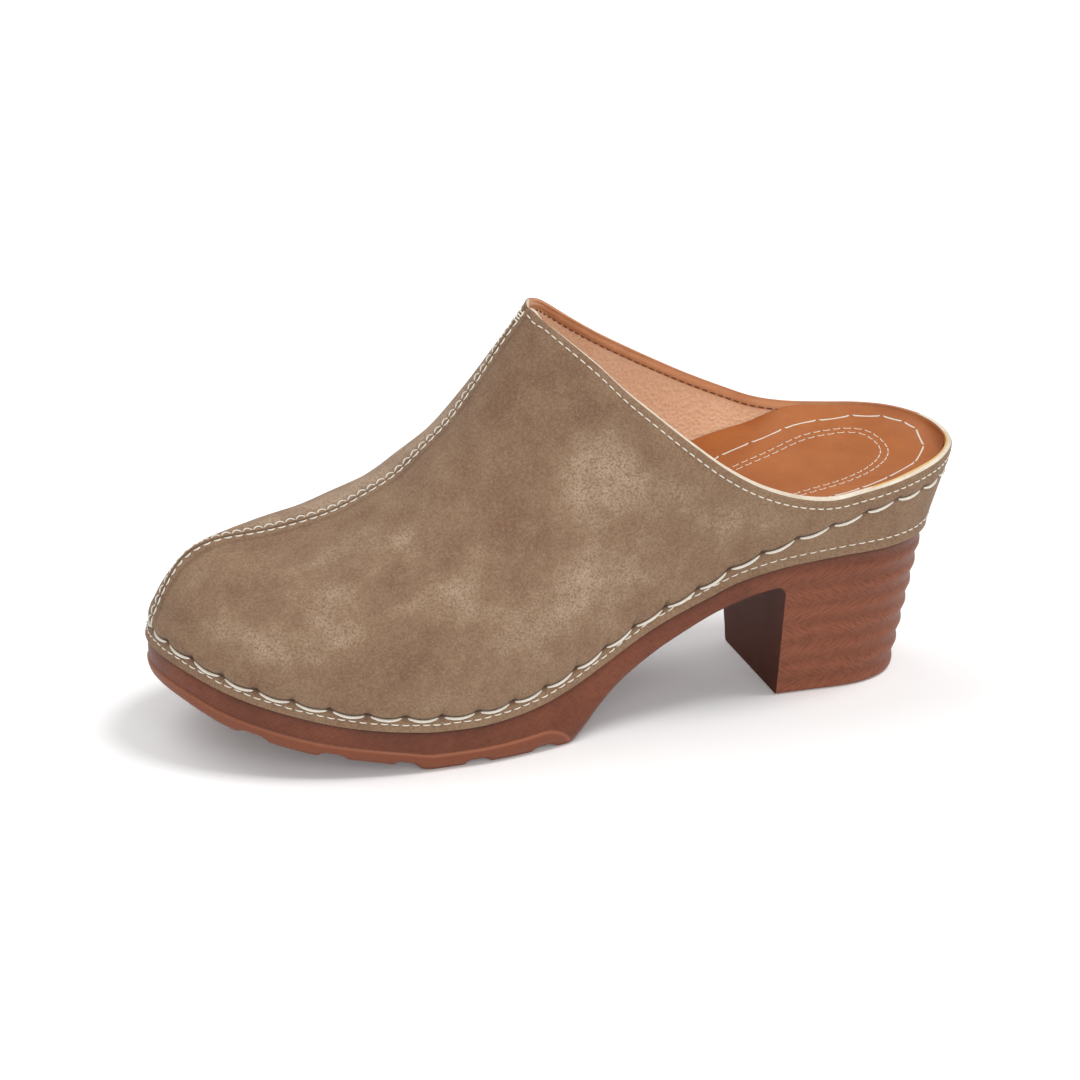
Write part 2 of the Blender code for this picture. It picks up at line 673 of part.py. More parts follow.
def heel_rows(edge):
    """Heights of the heel's rows, and 1 for each row that lies in a groove between ribs."""
    top = HEEL_HEIGHT - TOP_BAND
    third = RIB_RISE / 3.0
    rows = [(edge, 0.0), (0.5 * (edge + top), 0.0)]
    for k in range(RIB_COUNT):
        groove = top - k * RIB_RISE
        rows += [(groove, 1.0), (groove - third, 0.0), (groove - 2.0 * third, 0.0)]
    return rows + [(BASE_BAND, 1.0), (BASE_EDGE, 0.0), (0.0, 0.0)]


def smooth_step(value):
    value = min(1.0, max(0.0, value))
    return value * value * (3.0 - 2.0 * value)


def sole_low(x):
    """Height of the lower edge of the sole's own side; behind the breast the heel goes on below it."""
    if x <= BREAST:
        return SHANK_LINE
    if x < BREAST + BREAST_FILLET:
        turn = 1.0 - (x - BREAST) / BREAST_FILLET
        return SHANK_LINE + (base_height(BREAST + BREAST_FILLET) - SHANK_LINE) * math.sqrt(1.0 - turn * turn)
    return base_height(x)


def sole_column(x, side):
    """Points down the sole's side at one section, and down the heel block behind the breast."""
    edge = edge_height(x)
    low = sole_low(x)
    heel = smooth_step((BREAST + BLEND - x) / BLEND)
    step = STEP_OUT * smooth_step((x / LENGTH - STEP_START) / STEP_FADE)
    ribbing = RIB_DEPTH * (RIB_FRONT + (1.0 - RIB_FRONT) * max(0.0, BREAST - x) / HEEL_DEPTH)
    depths = column(SIDE, SIDE_COLUMNS, "depth")
    offsets = step * column(SIDE, SIDE_COLUMNS, "step") - EDGE_TUCK * column(SIDE, SIDE_COLUMNS, "tuck")
    points = []
    for r, (height, groove) in enumerate(heel_rows(edge)):
        side_offset = 0.0
        z = height
        if r < len(SIDE):
            heel_depth = (edge - height) / (edge - SHANK_LINE)
            z = edge - ((1.0 - heel) * depths[r] + heel * heel_depth) * (edge - low)
            side_offset = offsets[r]
        elif x > BREAST:
            break
        inset = BASE_INSET * max(0.0, 1.0 - z / HEEL_HEIGHT) + ribbing * groove
        if z == 0.0 and x <= BREAST:
            inset += BASE_CORNER * BASE_EDGE
        plan = outline_point(x, side, (1.0 - heel) * side_offset - heel * inset)
        if x == BREAST:
            plan[0] = BREAST
        if r == len(SIDE) - 1:
            z += lug_depth(x)
        points.append(np.array([plan[0], plan[1], z]))
    return points


def build_sole(material, collection, root):
    """Moulded sole: platform with toe spring and cross grooves, arched shank and ribbed block heel."""
    shape = Shape()
    stations = sole_stations()
    breast = stations.index(BREAST)
    low_row = len(SIDE) - 1
    walls = {}
    for side in SIDES:
        table = []
        for i, x in enumerate(stations):
            owner = 0 if i in (0, len(stations) - 1) else side
            points = sole_column(x, side)
            table.append([shape.vertex((owner, i, r), p) for r, p in enumerate(points)])
        shape.grid([row[:low_row + 1] for row in table])
        shape.grid([row[low_row:] for row in table[breast:]])
        walls[side] = table

    def straight(k, left, right, share):
        return shape.between(left, right, share)

    lateral, medial = walls[1], walls[-1]
    shape.strips("top", [row[0] for row in lateral], [row[0] for row in medial], straight, TOP_STRIPS)
    under = shape.strips("under", [row[low_row] for row in lateral[:breast + 1]],
                         [row[low_row] for row in medial[:breast + 1]], straight, UNDER_STRIPS)
    front = shape.strips("front", lateral[breast][low_row + 1:], medial[breast][low_row + 1:],
                         straight, UNDER_STRIPS)
    base = shape.strips("base", [row[-1] for row in lateral[breast + 1:]],
                        [row[-1] for row in medial[breast + 1:]], straight, UNDER_STRIPS)
    shape.grid([under[-1], front[0]])
    shape.grid([front[-1], base[0]])
    return make_object("sole", shape, material, collection, root)


def make_material(name, colour, roughness):
    material = bpy.data.materials.new(name)
    material.use_nodes = True
    shader = material.node_tree.nodes["Principled BSDF"]
    shader.inputs["Base Color"].default_value = (*colour, 1.0)
    shader.inputs["Roughness"].default_value = roughness
    material.diffuse_color = (*colour, 1.0)
    return material


def main():
    for thing in list(bpy.data.objects):
        bpy.data.objects.remove(thing, do_unlink=True)
    collection = bpy.data.collections.new("block_heel_mule")
    bpy.context.scene.collection.children.link(collection)
    root = bpy.data.objects.new("shoe_root", None)
    collection.objects.link(root)

    suede = make_material("taupe_nubuck", (0.30, 0.20, 0.13), 0.8)
    tan = make_material("tan_leather", (0.48, 0.16, 0.045), 0.55)
    rubber = make_material("brown_rubber", (0.24, 0.075, 0.04), 0.6)

    skin = upper_skin()
    pieces = [build_upper(skin, suede, collection, root),
              build_footbed(skin, tan, collection, root),
              build_sole(rubber, collection, root)]

    # The root moves the shoe so that the middle of its footprint is the origin
    corners = np.array([tuple(v.co) for piece in pieces for v in piece.data.vertices])
    low, high = corners.min(axis=0), corners.max(axis=0)
    root.location = (-0.5 * (low[0] + high[0]), -0.5 * (low[1] + high[1]), -low[2])
    bpy.context.view_layer.update()


if __name__ == "__main__":
    main()
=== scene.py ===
"""Looks of the block heel mule: nubuck upper, tan footbed, rubber sole and their stitching.

Metres, +Z up, +X to the toe, +Y to the little-toe side.
"""
import math

import bmesh
import bpy
import numpy as np
from mathutils import Matrix, Vector
from mathutils.bvhtree import BVHTree


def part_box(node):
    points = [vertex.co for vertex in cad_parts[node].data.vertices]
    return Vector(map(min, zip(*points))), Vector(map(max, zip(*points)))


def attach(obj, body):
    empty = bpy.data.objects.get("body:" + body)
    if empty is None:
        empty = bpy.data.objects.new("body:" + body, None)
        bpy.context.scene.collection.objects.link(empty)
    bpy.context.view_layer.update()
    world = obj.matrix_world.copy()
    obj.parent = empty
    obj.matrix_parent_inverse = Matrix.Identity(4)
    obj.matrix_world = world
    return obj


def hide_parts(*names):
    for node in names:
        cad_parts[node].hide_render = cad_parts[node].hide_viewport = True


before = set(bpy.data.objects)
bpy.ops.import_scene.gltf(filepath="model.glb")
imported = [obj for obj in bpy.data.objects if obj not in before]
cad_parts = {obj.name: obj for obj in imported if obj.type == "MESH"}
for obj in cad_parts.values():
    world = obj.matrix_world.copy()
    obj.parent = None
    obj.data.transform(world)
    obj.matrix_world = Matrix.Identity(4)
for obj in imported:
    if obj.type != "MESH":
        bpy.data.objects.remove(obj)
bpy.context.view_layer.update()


class Table:
    """Given rows with named columns, of which the first says where each row lies."""

    def __init__(self, names, *rows):
        self.names = names.split()
        self.rows = np.array(rows)

    def column(self, name):
        return self.rows[:, self.names.index(name)]

    def read(self, name, place):
        return smooth_read(self.rows[:, 0], self.column(name), place)


# Driving sizes of the shoe
LENGTH = 0.2440          # tip of the sole to the plane x = 0, just inside the collar's back
BALL_WIDTH = 0.090       # sole's top edge across the ball
HEEL_HEIGHT = 0.0455     # floor to the sole's top edge at the back
PLATFORM = 0.012         # floor to the sole's top edge under the ball
TOE_LIFT = 0.0195        # rise of the top edge from the ball to the toe tip
INSTEP_HEIGHT = 0.1215   # floor to the peak of the vamp
HEEL_SET = 0.007         # the sole's back is this far ahead of that plane

# Wall, clearances and overlays
WALL = 0.0018            # leather and lining together
CLEARANCE = 0.0003       # gap between touching pieces
BED_CLEARANCE = 0.00035  # gap round the curved side of the footbed
RAND_OVERHANG = 0.0003   # lower edge of the upper stands past the sole
RAND_FLARE = 0.0005      # extra flare of that edge
GROOVE_DEPTH = 0.0008    # channel of the saddle stitch, cut into the wall
PUFF_HEIGHT = 0.0005     # leather swells just above the channel
SEAM_RISE = 0.0004       # centre seam stands proud of the vamp
SEAM_HALF = 0.0024       # half width of the centre seam

# Footbed
BED_HEEL = 0.0185        # depth of the footbed at the heel

# Heel block and outsole
HEEL_DEPTH = 0.0525      # back of the sole to the breast of the heel
BREAST_FILLET = 0.003
BASE_INSET = 0.0087      # the heel's base lies this far inside the sole's top edge
RIB_COUNT = 6            # ribs between the plain bands at the heel's top and base
RIB_DEPTH = 0.0011
TOP_BAND = 0.0026        # plain band over the ribs
BASE_BAND = 0.0045       # plain band under the ribs
BASE_EDGE = 0.0012       # rounded lower edge of the heel
BASE_CORNER = 0.7        # that edge goes in by this share of its height
RIB_FRONT = 0.3          # the ribs' depth at the breast, as a share of that at the back
BLEND = 0.016            # the sole's side turns into the heel's side over this length
STEP_OUT = 0.0005        # the sole's lower band stands proud of its side
EDGE_TUCK = 0.0019       # lower edge of the sole lies inside its top edge
STEP_START = 0.47        # share of the length where the sole's lower band begins
STEP_FADE = 0.10
LUG_PITCH = 0.0215
LUG_GROOVES = 5
LUG_GROOVE_WIDTH = 0.0048
LUG_GROOVE_SIDE = 0.0018  # length of each sloped side of a groove
LUG_GROOVE_DEPTH = 0.0017
FIRST_LUG_GROOVE = 0.137  # from the plane x = 0

# Round ends of the outline: where each cap starts, as shares of the length, and its fullness.
# Side 1 is lateral, side -1 is medial.
SIDES = (1, -1)
SIDE_NAMES = {1: "lateral", -1: "medial"}
TOE_CAPS = {1: 0.716, -1: 0.748}
HEEL_CAP = 0.172
TOE_FULLNESS = 2.06
HEEL_FULLNESS = 2.3

# Outline of the sole's top edge: places as shares of the length, half widths of the ball width
OUTLINE = Table(
    "along lateral medial",
    (0.172, 0.346, 0.346), (0.245, 0.348, 0.346), (0.327, 0.355, 0.335), (0.389, 0.367, 0.328),
    (0.450, 0.393, 0.337), (0.511, 0.431, 0.369), (0.573, 0.474, 0.413), (0.634, 0.503, 0.454),
    (0.716, 0.512, 0.483), (0.748, 0.512, 0.488),
)

# Top edge of the sole: shares of the heel's rise and of the toe's rise above the platform
EDGE = Table(
    "along heel toe",
    (0.000, 1.015, 0.00), (0.135, 1.015, 0.00), (0.230, 0.975, 0.00), (0.307, 0.880, 0.00),
    (0.348, 0.770, 0.00), (0.429, 0.540, 0.00), (0.511, 0.240, 0.00), (0.552, 0.125, 0.00),
    (0.600, 0.045, 0.00), (0.660, 0.000, 0.00), (0.700, 0.000, 0.01), (0.745, 0.000, 0.07),
    (0.805, 0.000, 0.19), (0.871, 0.000, 0.39), (0.931, 0.000, 0.62), (0.982, 0.000, 0.89),
    (1.000, 0.000, 0.97),
)

# Lower edge of the sole from the breast to the toe: shares of the heel height and of the toe's rise
BASE = Table(
    "along heel toe",
    (0.245, 0.825, 0.00), (0.272, 0.800, 0.00), (0.323, 0.725, 0.00), (0.378, 0.595, 0.00),
    (0.421, 0.475, 0.00), (0.459, 0.345, 0.00), (0.488, 0.205, 0.00), (0.511, 0.070, 0.00),
    (0.530, 0.000, 0.00), (0.704, 0.000, 0.00), (0.742, 0.000, 0.11), (0.785, 0.000, 0.22),
    (0.849, 0.000, 0.36), (0.903, 0.000, 0.54), (0.943, 0.000, 0.70), (0.985, 0.000, 0.95),
    (1.000, 0.000, 1.03),
)

# Side of the sole: depth from the top edge as a share, outward offset in shares of the tuck and step
SIDE = Table(
    "depth tuck step",
    (0.00, 0.10, 0.0), (0.07, 0.00, 0.0), (0.32, -0.06, 0.0), (0.57, 0.03, 0.0), (0.61, 0.03, 1.0),
    (0.84, 0.32, 1.0), (1.00, 1.00, 0.0),
)

# Centre seam from the toe tip to the vamp's peak: shares of the length and of the instep height
SEAM = Table(
    "along height",
    (1.0015, 0.262), (0.999, 0.293), (0.991, 0.353), (0.982, 0.391), (0.965, 0.447), (0.949, 0.474),
    (0.928, 0.492), (0.907, 0.500), (0.867, 0.505), (0.828, 0.515), (0.777, 0.537), (0.735, 0.572),
    (0.698, 0.612), (0.662, 0.675), (0.632, 0.731), (0.596, 0.826), (0.560, 0.931), (0.534, 1.000),
)
SEAM_CORNER = 0.17       # share of the seam, from the tip, that is the toe's own rib

# Collar from the vamp's peak to its back: shares of length, of ball width and of instep height
COLLAR = Table(
    "along lateral lateral_height medial medial_height",
    (0.534, 0.000, 1.000, 0.000, 1.000), (0.530, 0.048, 0.995, 0.048, 1.003),
    (0.519, 0.101, 0.977, 0.101, 0.996), (0.499, 0.168, 0.944, 0.163, 0.976),
    (0.470, 0.242, 0.892, 0.225, 0.932), (0.442, 0.292, 0.834, 0.270, 0.888),
    (0.409, 0.334, 0.775, 0.312, 0.840), (0.368, 0.368, 0.703, 0.344, 0.788),
    (0.327, 0.389, 0.637, 0.361, 0.740), (0.286, 0.400, 0.587, 0.372, 0.695),
    (0.239, 0.405, 0.551, 0.378, 0.649), (0.196, 0.400, 0.536, 0.378, 0.612),
    (0.155, 0.390, 0.543, 0.371, 0.593), (0.110, 0.366, 0.553, 0.354, 0.585),
    (0.062, 0.312, 0.566, 0.304, 0.586), (0.029, 0.237, 0.572, 0.231, 0.587),
    (0.002, 0.121, 0.576, 0.119, 0.583), (-0.006, 0.000, 0.579, 0.000, 0.579),
)

# Cross-section ribs by place on the outline, from the toe tip (0) to the heel (1).
# foot and crown are handle lengths as shares of the rib's height and half width, swell leans the
# foot handle outward, drop is the crown handle's slope in degrees below level, lean is the extra
# rise of the big-toe side at the seam, stitch is the channel's height above the edge in metres.
RIBS = Table(
    "place foot crown swell drop lean stitch",
    (0.00, 0.34, 0.47, -0.01, 0.0, 0.08, 0.0041), (0.12, 0.45, 0.58, 0.06, 0.0, 0.20, 0.0036),
    (0.25, 0.50, 0.60, 0.08, 0.0, 0.04, 0.0038), (0.38, 0.46, 0.55, 0.06, 0.0, -0.07, 0.0038),
    (0.46, 0.42, 0.54, 0.03, 4.0, -0.02, 0.0040), (0.52, 0.40, 0.50, 0.01, 12.0, 0.00, 0.0038),
    (0.62, 0.36, 0.30, 0.00, 58.0, 0.00, 0.0032), (0.72, 0.34, 0.30, 0.00, 84.0, 0.00, 0.0060),
    (0.78, 0.33, 0.30, 0.02, 92.0, 0.00, 0.0114), (0.84, 0.33, 0.30, 0.04, 97.0, 0.00, 0.0174),
    (0.90, 0.33, 0.30, 0.08, 100.0, 0.00, 0.0189), (1.00, 0.33, 0.30, 0.14, 102.0, 0.00, 0.0188),
)
PEAK_PLACE = 0.52        # place on the outline of the rib that ends at the vamp's peak
COLLAR_SPREAD = 1.35     # crowds the ribs' upper ends towards the heel
SEAM_FOLLOW = 0.6        # how far the crown handles run along the seam
PUFF_END = 0.72          # place where the swell over the channel has faded
HEEL_GROOVE = 0.4        # the channel's depth behind that place, as a share of its full depth

# Footbed above the sole: shares of its depth at the heel
BED = Table(
    "along centre lateral_rim medial_rim",
    (0.000, 1.00, 1.14, 1.14), (0.080, 1.00, 1.09, 1.22), (0.150, 0.98, 0.99, 1.24),
    (0.200, 0.94, 0.95, 1.18), (0.290, 0.85, 0.85, 1.08), (0.370, 0.70, 0.69, 0.95),
    (0.450, 0.60, 0.57, 0.82), (0.550, 0.54, 0.58, 0.67), (0.675, 0.42, 0.48, 0.51),
    (0.820, 0.34, 0.38, 0.38), (1.000, 0.24, 0.28, 0.28),
)
BED_FLATNESS = 0.8       # below 1 the dish has a flat middle

# Counts of the meshes and curves
STATIONS = 40            # places of the upper's main ribs on each side, toe to heel
BED_ROWS = 5             # rows up the footbed's wall
FINE = 240               # samples along a curve when it is measured
KNOT_SAMPLES = 12        # samples between two knots of a curve

# Places worked out from the sizes
BREAST = HEEL_SET + HEEL_DEPTH
RIB_RISE = (HEEL_HEIGHT - TOP_BAND - BASE_BAND) / RIB_COUNT
SHANK_LINE = HEEL_HEIGHT - TOP_BAND - 4.0 * RIB_RISE / 3.0


def hermite(t, start, end, first, last):
    """Cubic from start to end by its slopes there, at t from 0 to 1."""
    return ((2 * t**3 - 3 * t**2 + 1) * start + (t**3 - 2 * t**2 + t) * first
            + (3 * t**2 - 2 * t**3) * end + (t**3 - t**2) * last)


def smooth_read(xs, ys, x):
    """Monotone cubic through given points, level beyond both ends."""
    gaps = np.diff(xs)
    slopes = np.diff(ys) / gaps
    tangents = np.zeros(len(xs))
    for k in range(1, len(xs) - 1):
        before, after = slopes[k - 1], slopes[k]
        if before * after > 0.0:
            early = 2.0 * gaps[k] + gaps[k - 1]
            late = gaps[k] + 2.0 * gaps[k - 1]
            tangents[k] = (early + late) / (early / before + late / after)
    tangents[0] = slopes[0]
    tangents[-1] = slopes[-1]
    x = min(max(x, xs[0]), xs[-1])
    k = min(int(np.searchsorted(xs, x, side="right")) - 1, len(xs) - 2)
    first, last = gaps[k] * tangents[k:k + 2]
    return float(hermite((x - xs[k]) / gaps[k], ys[k], ys[k + 1], first, last))


def smooth_path(points, before, after):
    """Round curve through points, sampled evenly by length; before and after shape its ends."""
    knots = [np.array(p, dtype=float) for p in [before, *points, after]]
    samples = []
    for k in range(1, len(knots) - 2):
        a, b, c, d = knots[k - 1], knots[k], knots[k + 1], knots[k + 2]
        into, along, out = [math.sqrt(np.linalg.norm(step)) for step in (b - a, c - b, d - c)]
        first = ((b - a) / into - (c - a) / (into + along) + (c - b) / along) * along
        last = ((c - b) / along - (d - b) / (along + out) + (d - c) / out) * along
        for t in np.linspace(0.0, 1.0, KNOT_SAMPLES, endpoint=False):
            samples.append(hermite(t, b, c, first, last))
    samples.append(knots[-2])
    return resample(np.array(samples), np.linspace(0.0, 1.0, FINE))


def lengths(points):
    """Running length along a polyline."""
    return np.concatenate([[0.0], np.cumsum(np.linalg.norm(np.diff(points, axis=0), axis=1))])


def read_rows(at, places, rows):
    """Rows of numbers read at given places, straight from row to row."""
    return np.stack([np.interp(at, places, rows[:, k]) for k in range(rows.shape[1])], axis=-1)


def resample(points, shares):
    """Points at the given shares of a polyline's length."""
    run = lengths(points)
    return read_rows(np.array(shares) * run[-1], run, points)


def unit(vectors):
    return vectors / np.linalg.norm(vectors, axis=-1, keepdims=True)


def half_width(x, side):
    """Half width of the sole's top edge at x on one side."""
    body = BALL_WIDTH * OUTLINE.read(SIDE_NAMES[side], x / LENGTH)
    toe_start = LENGTH * TOE_CAPS[side]
    heel_start = LENGTH * HEEL_CAP
    for start, end, fullness in ((toe_start, LENGTH, TOE_FULLNESS), (heel_start, HEEL_SET, HEEL_FULLNESS)):
        reach = min(max((x - start) / (end - start), 0.0), 1.0)
        body *= math.sqrt(max(1.0 - reach ** fullness, 0.0))
    return body


def edge_height(x):
    """Height of the sole's top edge."""
    heel, toe = [EDGE.read(name, x / LENGTH) for name in ("heel", "toe")]
    return PLATFORM + (HEEL_HEIGHT - PLATFORM) * heel + TOE_LIFT * toe


def base_height(x):
    """Height of the sole's lower edge ahead of the heel, without its lugs."""
    heel, toe = [BASE.read(name, x / LENGTH) for name in ("heel", "toe")]
    return HEEL_HEIGHT * heel + TOE_LIFT * toe


def outline_point(x, side, offset=0.0):
    """Plan point of the sole's edge at x, moved outward by offset."""
    small = LENGTH * 1e-4
    low = max(x - small, HEEL_SET)
    high = min(x + small, LENGTH)
    tangent = np.array([high - low, side * (half_width(high, side) - half_width(low, side))])
    normal = np.array([-tangent[1], tangent[0]]) * side / np.linalg.norm(tangent)
    if x >= LENGTH:
        normal = np.array([1.0, 0.0])
    if x <= HEEL_SET:
        normal = np.array([-1.0, 0.0])
    return np.array([x, side * half_width(x, side)]) + normal * offset


def outline_stations(side, shares):
    """Places along X at shares of the outline's length, from the toe to the heel."""
    turns = np.linspace(0.0, math.pi, FINE)
    xs = HEEL_SET + (LENGTH - HEEL_SET) * 0.5 * (1.0 + np.cos(turns))
    run = lengths(np.array([[x, half_width(x, side)] for x in xs]))
    return np.interp(np.array(shares) * run[-1], run, xs)


def seam_path():
    """Centre seam, from the toe tip to the vamp's peak."""
    along = SEAM.column("along") * LENGTH
    height = SEAM.column("height") * INSTEP_HEIGHT
    points = np.stack([along, 0.0 * along, height], axis=1)
    return smooth_path(points, 2.0 * points[0] - points[1], 2.0 * points[-1] - points[-2])


def collar_points(side):
    """Knots of one side's collar edge, from the vamp's peak to its back."""
    along = COLLAR.column("along") * LENGTH
    across = COLLAR.column(SIDE_NAMES[side]) * BALL_WIDTH * side
    height = COLLAR.column(SIDE_NAMES[side] + "_height") * INSTEP_HEIGHT
    return list(np.stack([along, across, height], axis=1))


def collar_path(side):
    """Collar edge of one side; the other side's knots keep it round at both ends."""
    other = collar_points(-side)
    return smooth_path(collar_points(side), other[1], other[-2])


def rib_curve(place, side, foot, top, top_slope):
    """Smooth rib of the upper, a cubic curve from the sole's edge to the seam or the collar."""
    foot_share, crown_share, swell, drop, lean = [RIBS.read(name, place) for name in RIBS.names[1:6]]
    drop = math.radians(drop)
    rise = top[2] - foot[2]
    outward = outline_point(foot[0], side, 1.0) - outline_point(foot[0], side)
    first = foot + rise * np.array([outward[0] * swell, outward[1] * swell, foot_share])
    forward = foot[0] - top[0]
    across = abs(foot[1] - top[1])
    if place <= PEAK_PLACE:
        along = SEAM_FOLLOW * crown_share * forward
        width = crown_share * across
        fall = width * (math.tan(drop) + lean * side) - along * top_slope
        second = top + np.array([along, side * width, -fall])
    else:
        level_part = math.hypot(forward, across) * math.cos(drop) ** 2
        handle = crown_share * (level_part + rise * math.sin(drop) ** 2)
        turn = min(1.0, max(0.0, (place - PEAK_PLACE) / (1.0 - PEAK_PLACE) * 2.0))
        level = turn * outward + (1.0 - turn) * np.array([0.0, float(side)])
        second = top + handle * np.array([level[0] * math.cos(drop), level[1] * math.cos(drop),
                                          -math.sin(drop)])
    t = np.linspace(0.0, 1.0, FINE // 4)[:, None]
    return ((1 - t) ** 3 * foot + 3 * (1 - t) ** 2 * t * first
            + 3 * (1 - t) * t ** 2 * second + t ** 3 * top)


class Shape:
    """Vertices and faces of one closed solid, with vertices found again by name."""

    def __init__(self):
        self.vertices = []
        self.index = {}
        self.faces = []

    def vertex(self, key, point):
        if key not in self.index:
            self.index[key] = len(self.vertices)
            self.vertices.append(tuple(float(c) for c in point))
        return self.index[key]

    def face(self, *corners):
        loop = [c for k, c in enumerate(corners) if c != corners[k - 1]]
        if len(loop) > 2:
            self.faces.append(loop)

    def grid(self, table):
        """Faces of a table of vertex numbers."""
        for first, second in zip(table, table[1:]):
            for k in range(len(first) - 1):
                self.face(first[k], first[k + 1], second[k + 1], second[k])

    def strips(self, name, lefts, rights, point, count):
        """Faces across a shape, between equal lists of vertex numbers on its two sides."""
        table = []
        for k, (left, right) in enumerate(zip(lefts, rights)):
            if left == right:
                table.append([left] * (count + 1))
                continue
            inner = []
            for s in range(1, count):
                inner.append(self.vertex((name, k, s), point(left, right, s / count)))
            table.append([left, *inner, right])
        self.grid(table)
        return table

    def move(self, shift):
        self.vertices = [tuple(np.array(v) + shift) for v in self.vertices]

    def between(self, left, right, share):
        """Point on the straight line between two vertices."""
        return (1.0 - share) * np.array(self.vertices[left]) + share * np.array(self.vertices[right])


def bed_rim(lining, side):
    """Row position, in rows and parts of a row, where the footbed's rim meets the lining's points."""
    above = []
    for x, _, z in lining:
        rim = edge_height(x) + BED_HEEL * BED.read(SIDE_NAMES[side] + "_rim", x / LENGTH)
        above.append(z - rim)
    for j in range(1, len(above)):
        if above[j] > 0.0:
            return j - above[j] / (above[j] - above[j - 1])
    return float(len(above) - 1)


def lug_depth(x):
    """Depth of the cross grooves of the forefoot at x."""
    nearest = min(abs(x - FIRST_LUG_GROOVE - k * LUG_PITCH) for k in range(LUG_GROOVES))
    slope = (0.5 * LUG_GROOVE_WIDTH + LUG_GROOVE_SIDE - nearest) / LUG_GROOVE_SIDE
    return LUG_GROOVE_DEPTH * min(1.0, max(0.0, slope))


def smooth_step(value):
    """Smooth rise from 0 to 1."""
    value = min(1.0, max(0.0, value))
    return value * value * (3.0 - 2.0 * value)


def sole_low(x):
    """Height of the lower edge of the sole's own side; behind the breast the heel goes on below it."""
    if x <= BREAST:
        return SHANK_LINE
    if x < BREAST + BREAST_FILLET:
        turn = 1.0 - (x - BREAST) / BREAST_FILLET
        return SHANK_LINE + (base_height(BREAST + BREAST_FILLET) - SHANK_LINE) * math.sqrt(1.0 - turn * turn)
    return base_height(x)


# Fine surfaces of the looks
FINE_STATIONS = 240      # ribs of the dressed upper on each side
SEAM_SHARE = 0.5 * SEAM_HALF / LENGTH
PEAK_SHARE = round(PEAK_PLACE * STATIONS) / STATIONS
PEAK_RIB = round(PEAK_SHARE * FINE_STATIONS)
SADDLE_PITCH = 0.0110
SADDLE_GAP = 0.0016
SADDLE_PHASE = 0.02      # share of a pitch from the toe's seam to the first hole
SADDLE_RADIUS = 0.00046
FINE_PITCH = 0.0031
FINE_LENGTH = 0.0022
FINE_RADIUS = 0.00021
SCALLOP_SAG = 0.0011     # the saddle thread hangs this far between its holes
HOLE_RISE = 0.0005
EDGE_ROUND = 0.00035
FACING_WIDTH = 0.0031
FACING_RISE = 0.00022
EDGE_BEVEL = 0.0010      # the lining stands this far over the outer leather along the near collar
SEAM_ROW = 0.00165       # each row of seam stitches lies this far from the middle
COLLAR_ROW = 0.0024      # the collar's fine row lies this far under its edge
CHANNEL_ZONE = 0.0022    # half width of the finely divided band along the channel
EDGE_ZONE = 0.0034       # and the depth of the one under the upper edge
CHANNEL_REACH = 0.0009   # half width of the channel
HOLE_REACH = 0.0008
HOLE_DEPTH = 0.0006
SWELL_PLACE = 0.0034     # middle of the swell, above the channel's line
SWELL_REACH = 0.0021
FLARE_REACH = 0.0013
STRIP_HALF = 0.0027      # half width of the seam's raised strip
STRIP_SLOPE = 0.0008
PARTING_DEPTH = 0.0005   # groove along the middle of the seam
PARTING_REACH = 0.00035
PEAK_SPREAD = 16         # ribs beside the peak that are evened out
LINING_ROWS = 22         # rows of the inner face below the facing band
FACING_ROWS = 8
THREAD_ENDS = 7          # points along a fine stitch
SADDLE_ENDS = 31         # and along a saddle stitch
TWIST_PITCH = 0.0009
COLLAR_PITCH = 0.0028    # fine stitches of the collar's rows
COLLAR_LENGTH = 0.0020
PAD_PITCH = 0.0033
PAD_RADIUS = 0.00024
PAD_GAP = 0.0023         # between the two rows round the heel pad
BED_THREAD = 0.00038     # radius of the footbed's long stitches
BED_GAP = 0.0007         # the footbed's rim ends this far under the collar's edge at the back
SIDE_ROWS = 26           # rows down the sole's own side
HEEL_ROWS = 74           # rows down the heel block below it
SOLE_STEP = 0.0012       # distance between the dressed sole's sections


def fine_rows(total, stitch):
    """Distances up one rib: rand, channel, vamp and edge band."""
    above = total - stitch
    half = min(CHANNEL_ZONE, 0.3 * above, 0.5 * stitch)
    band = min(EDGE_ZONE, 0.35 * above)
    return np.concatenate([np.linspace(0.0, stitch - half, 9)[:-1],
                           np.linspace(stitch - half, stitch + half, 15),
                           np.linspace(stitch + half, total - band, 41)[1:-1],
                           np.linspace(total - band, total, 9)])


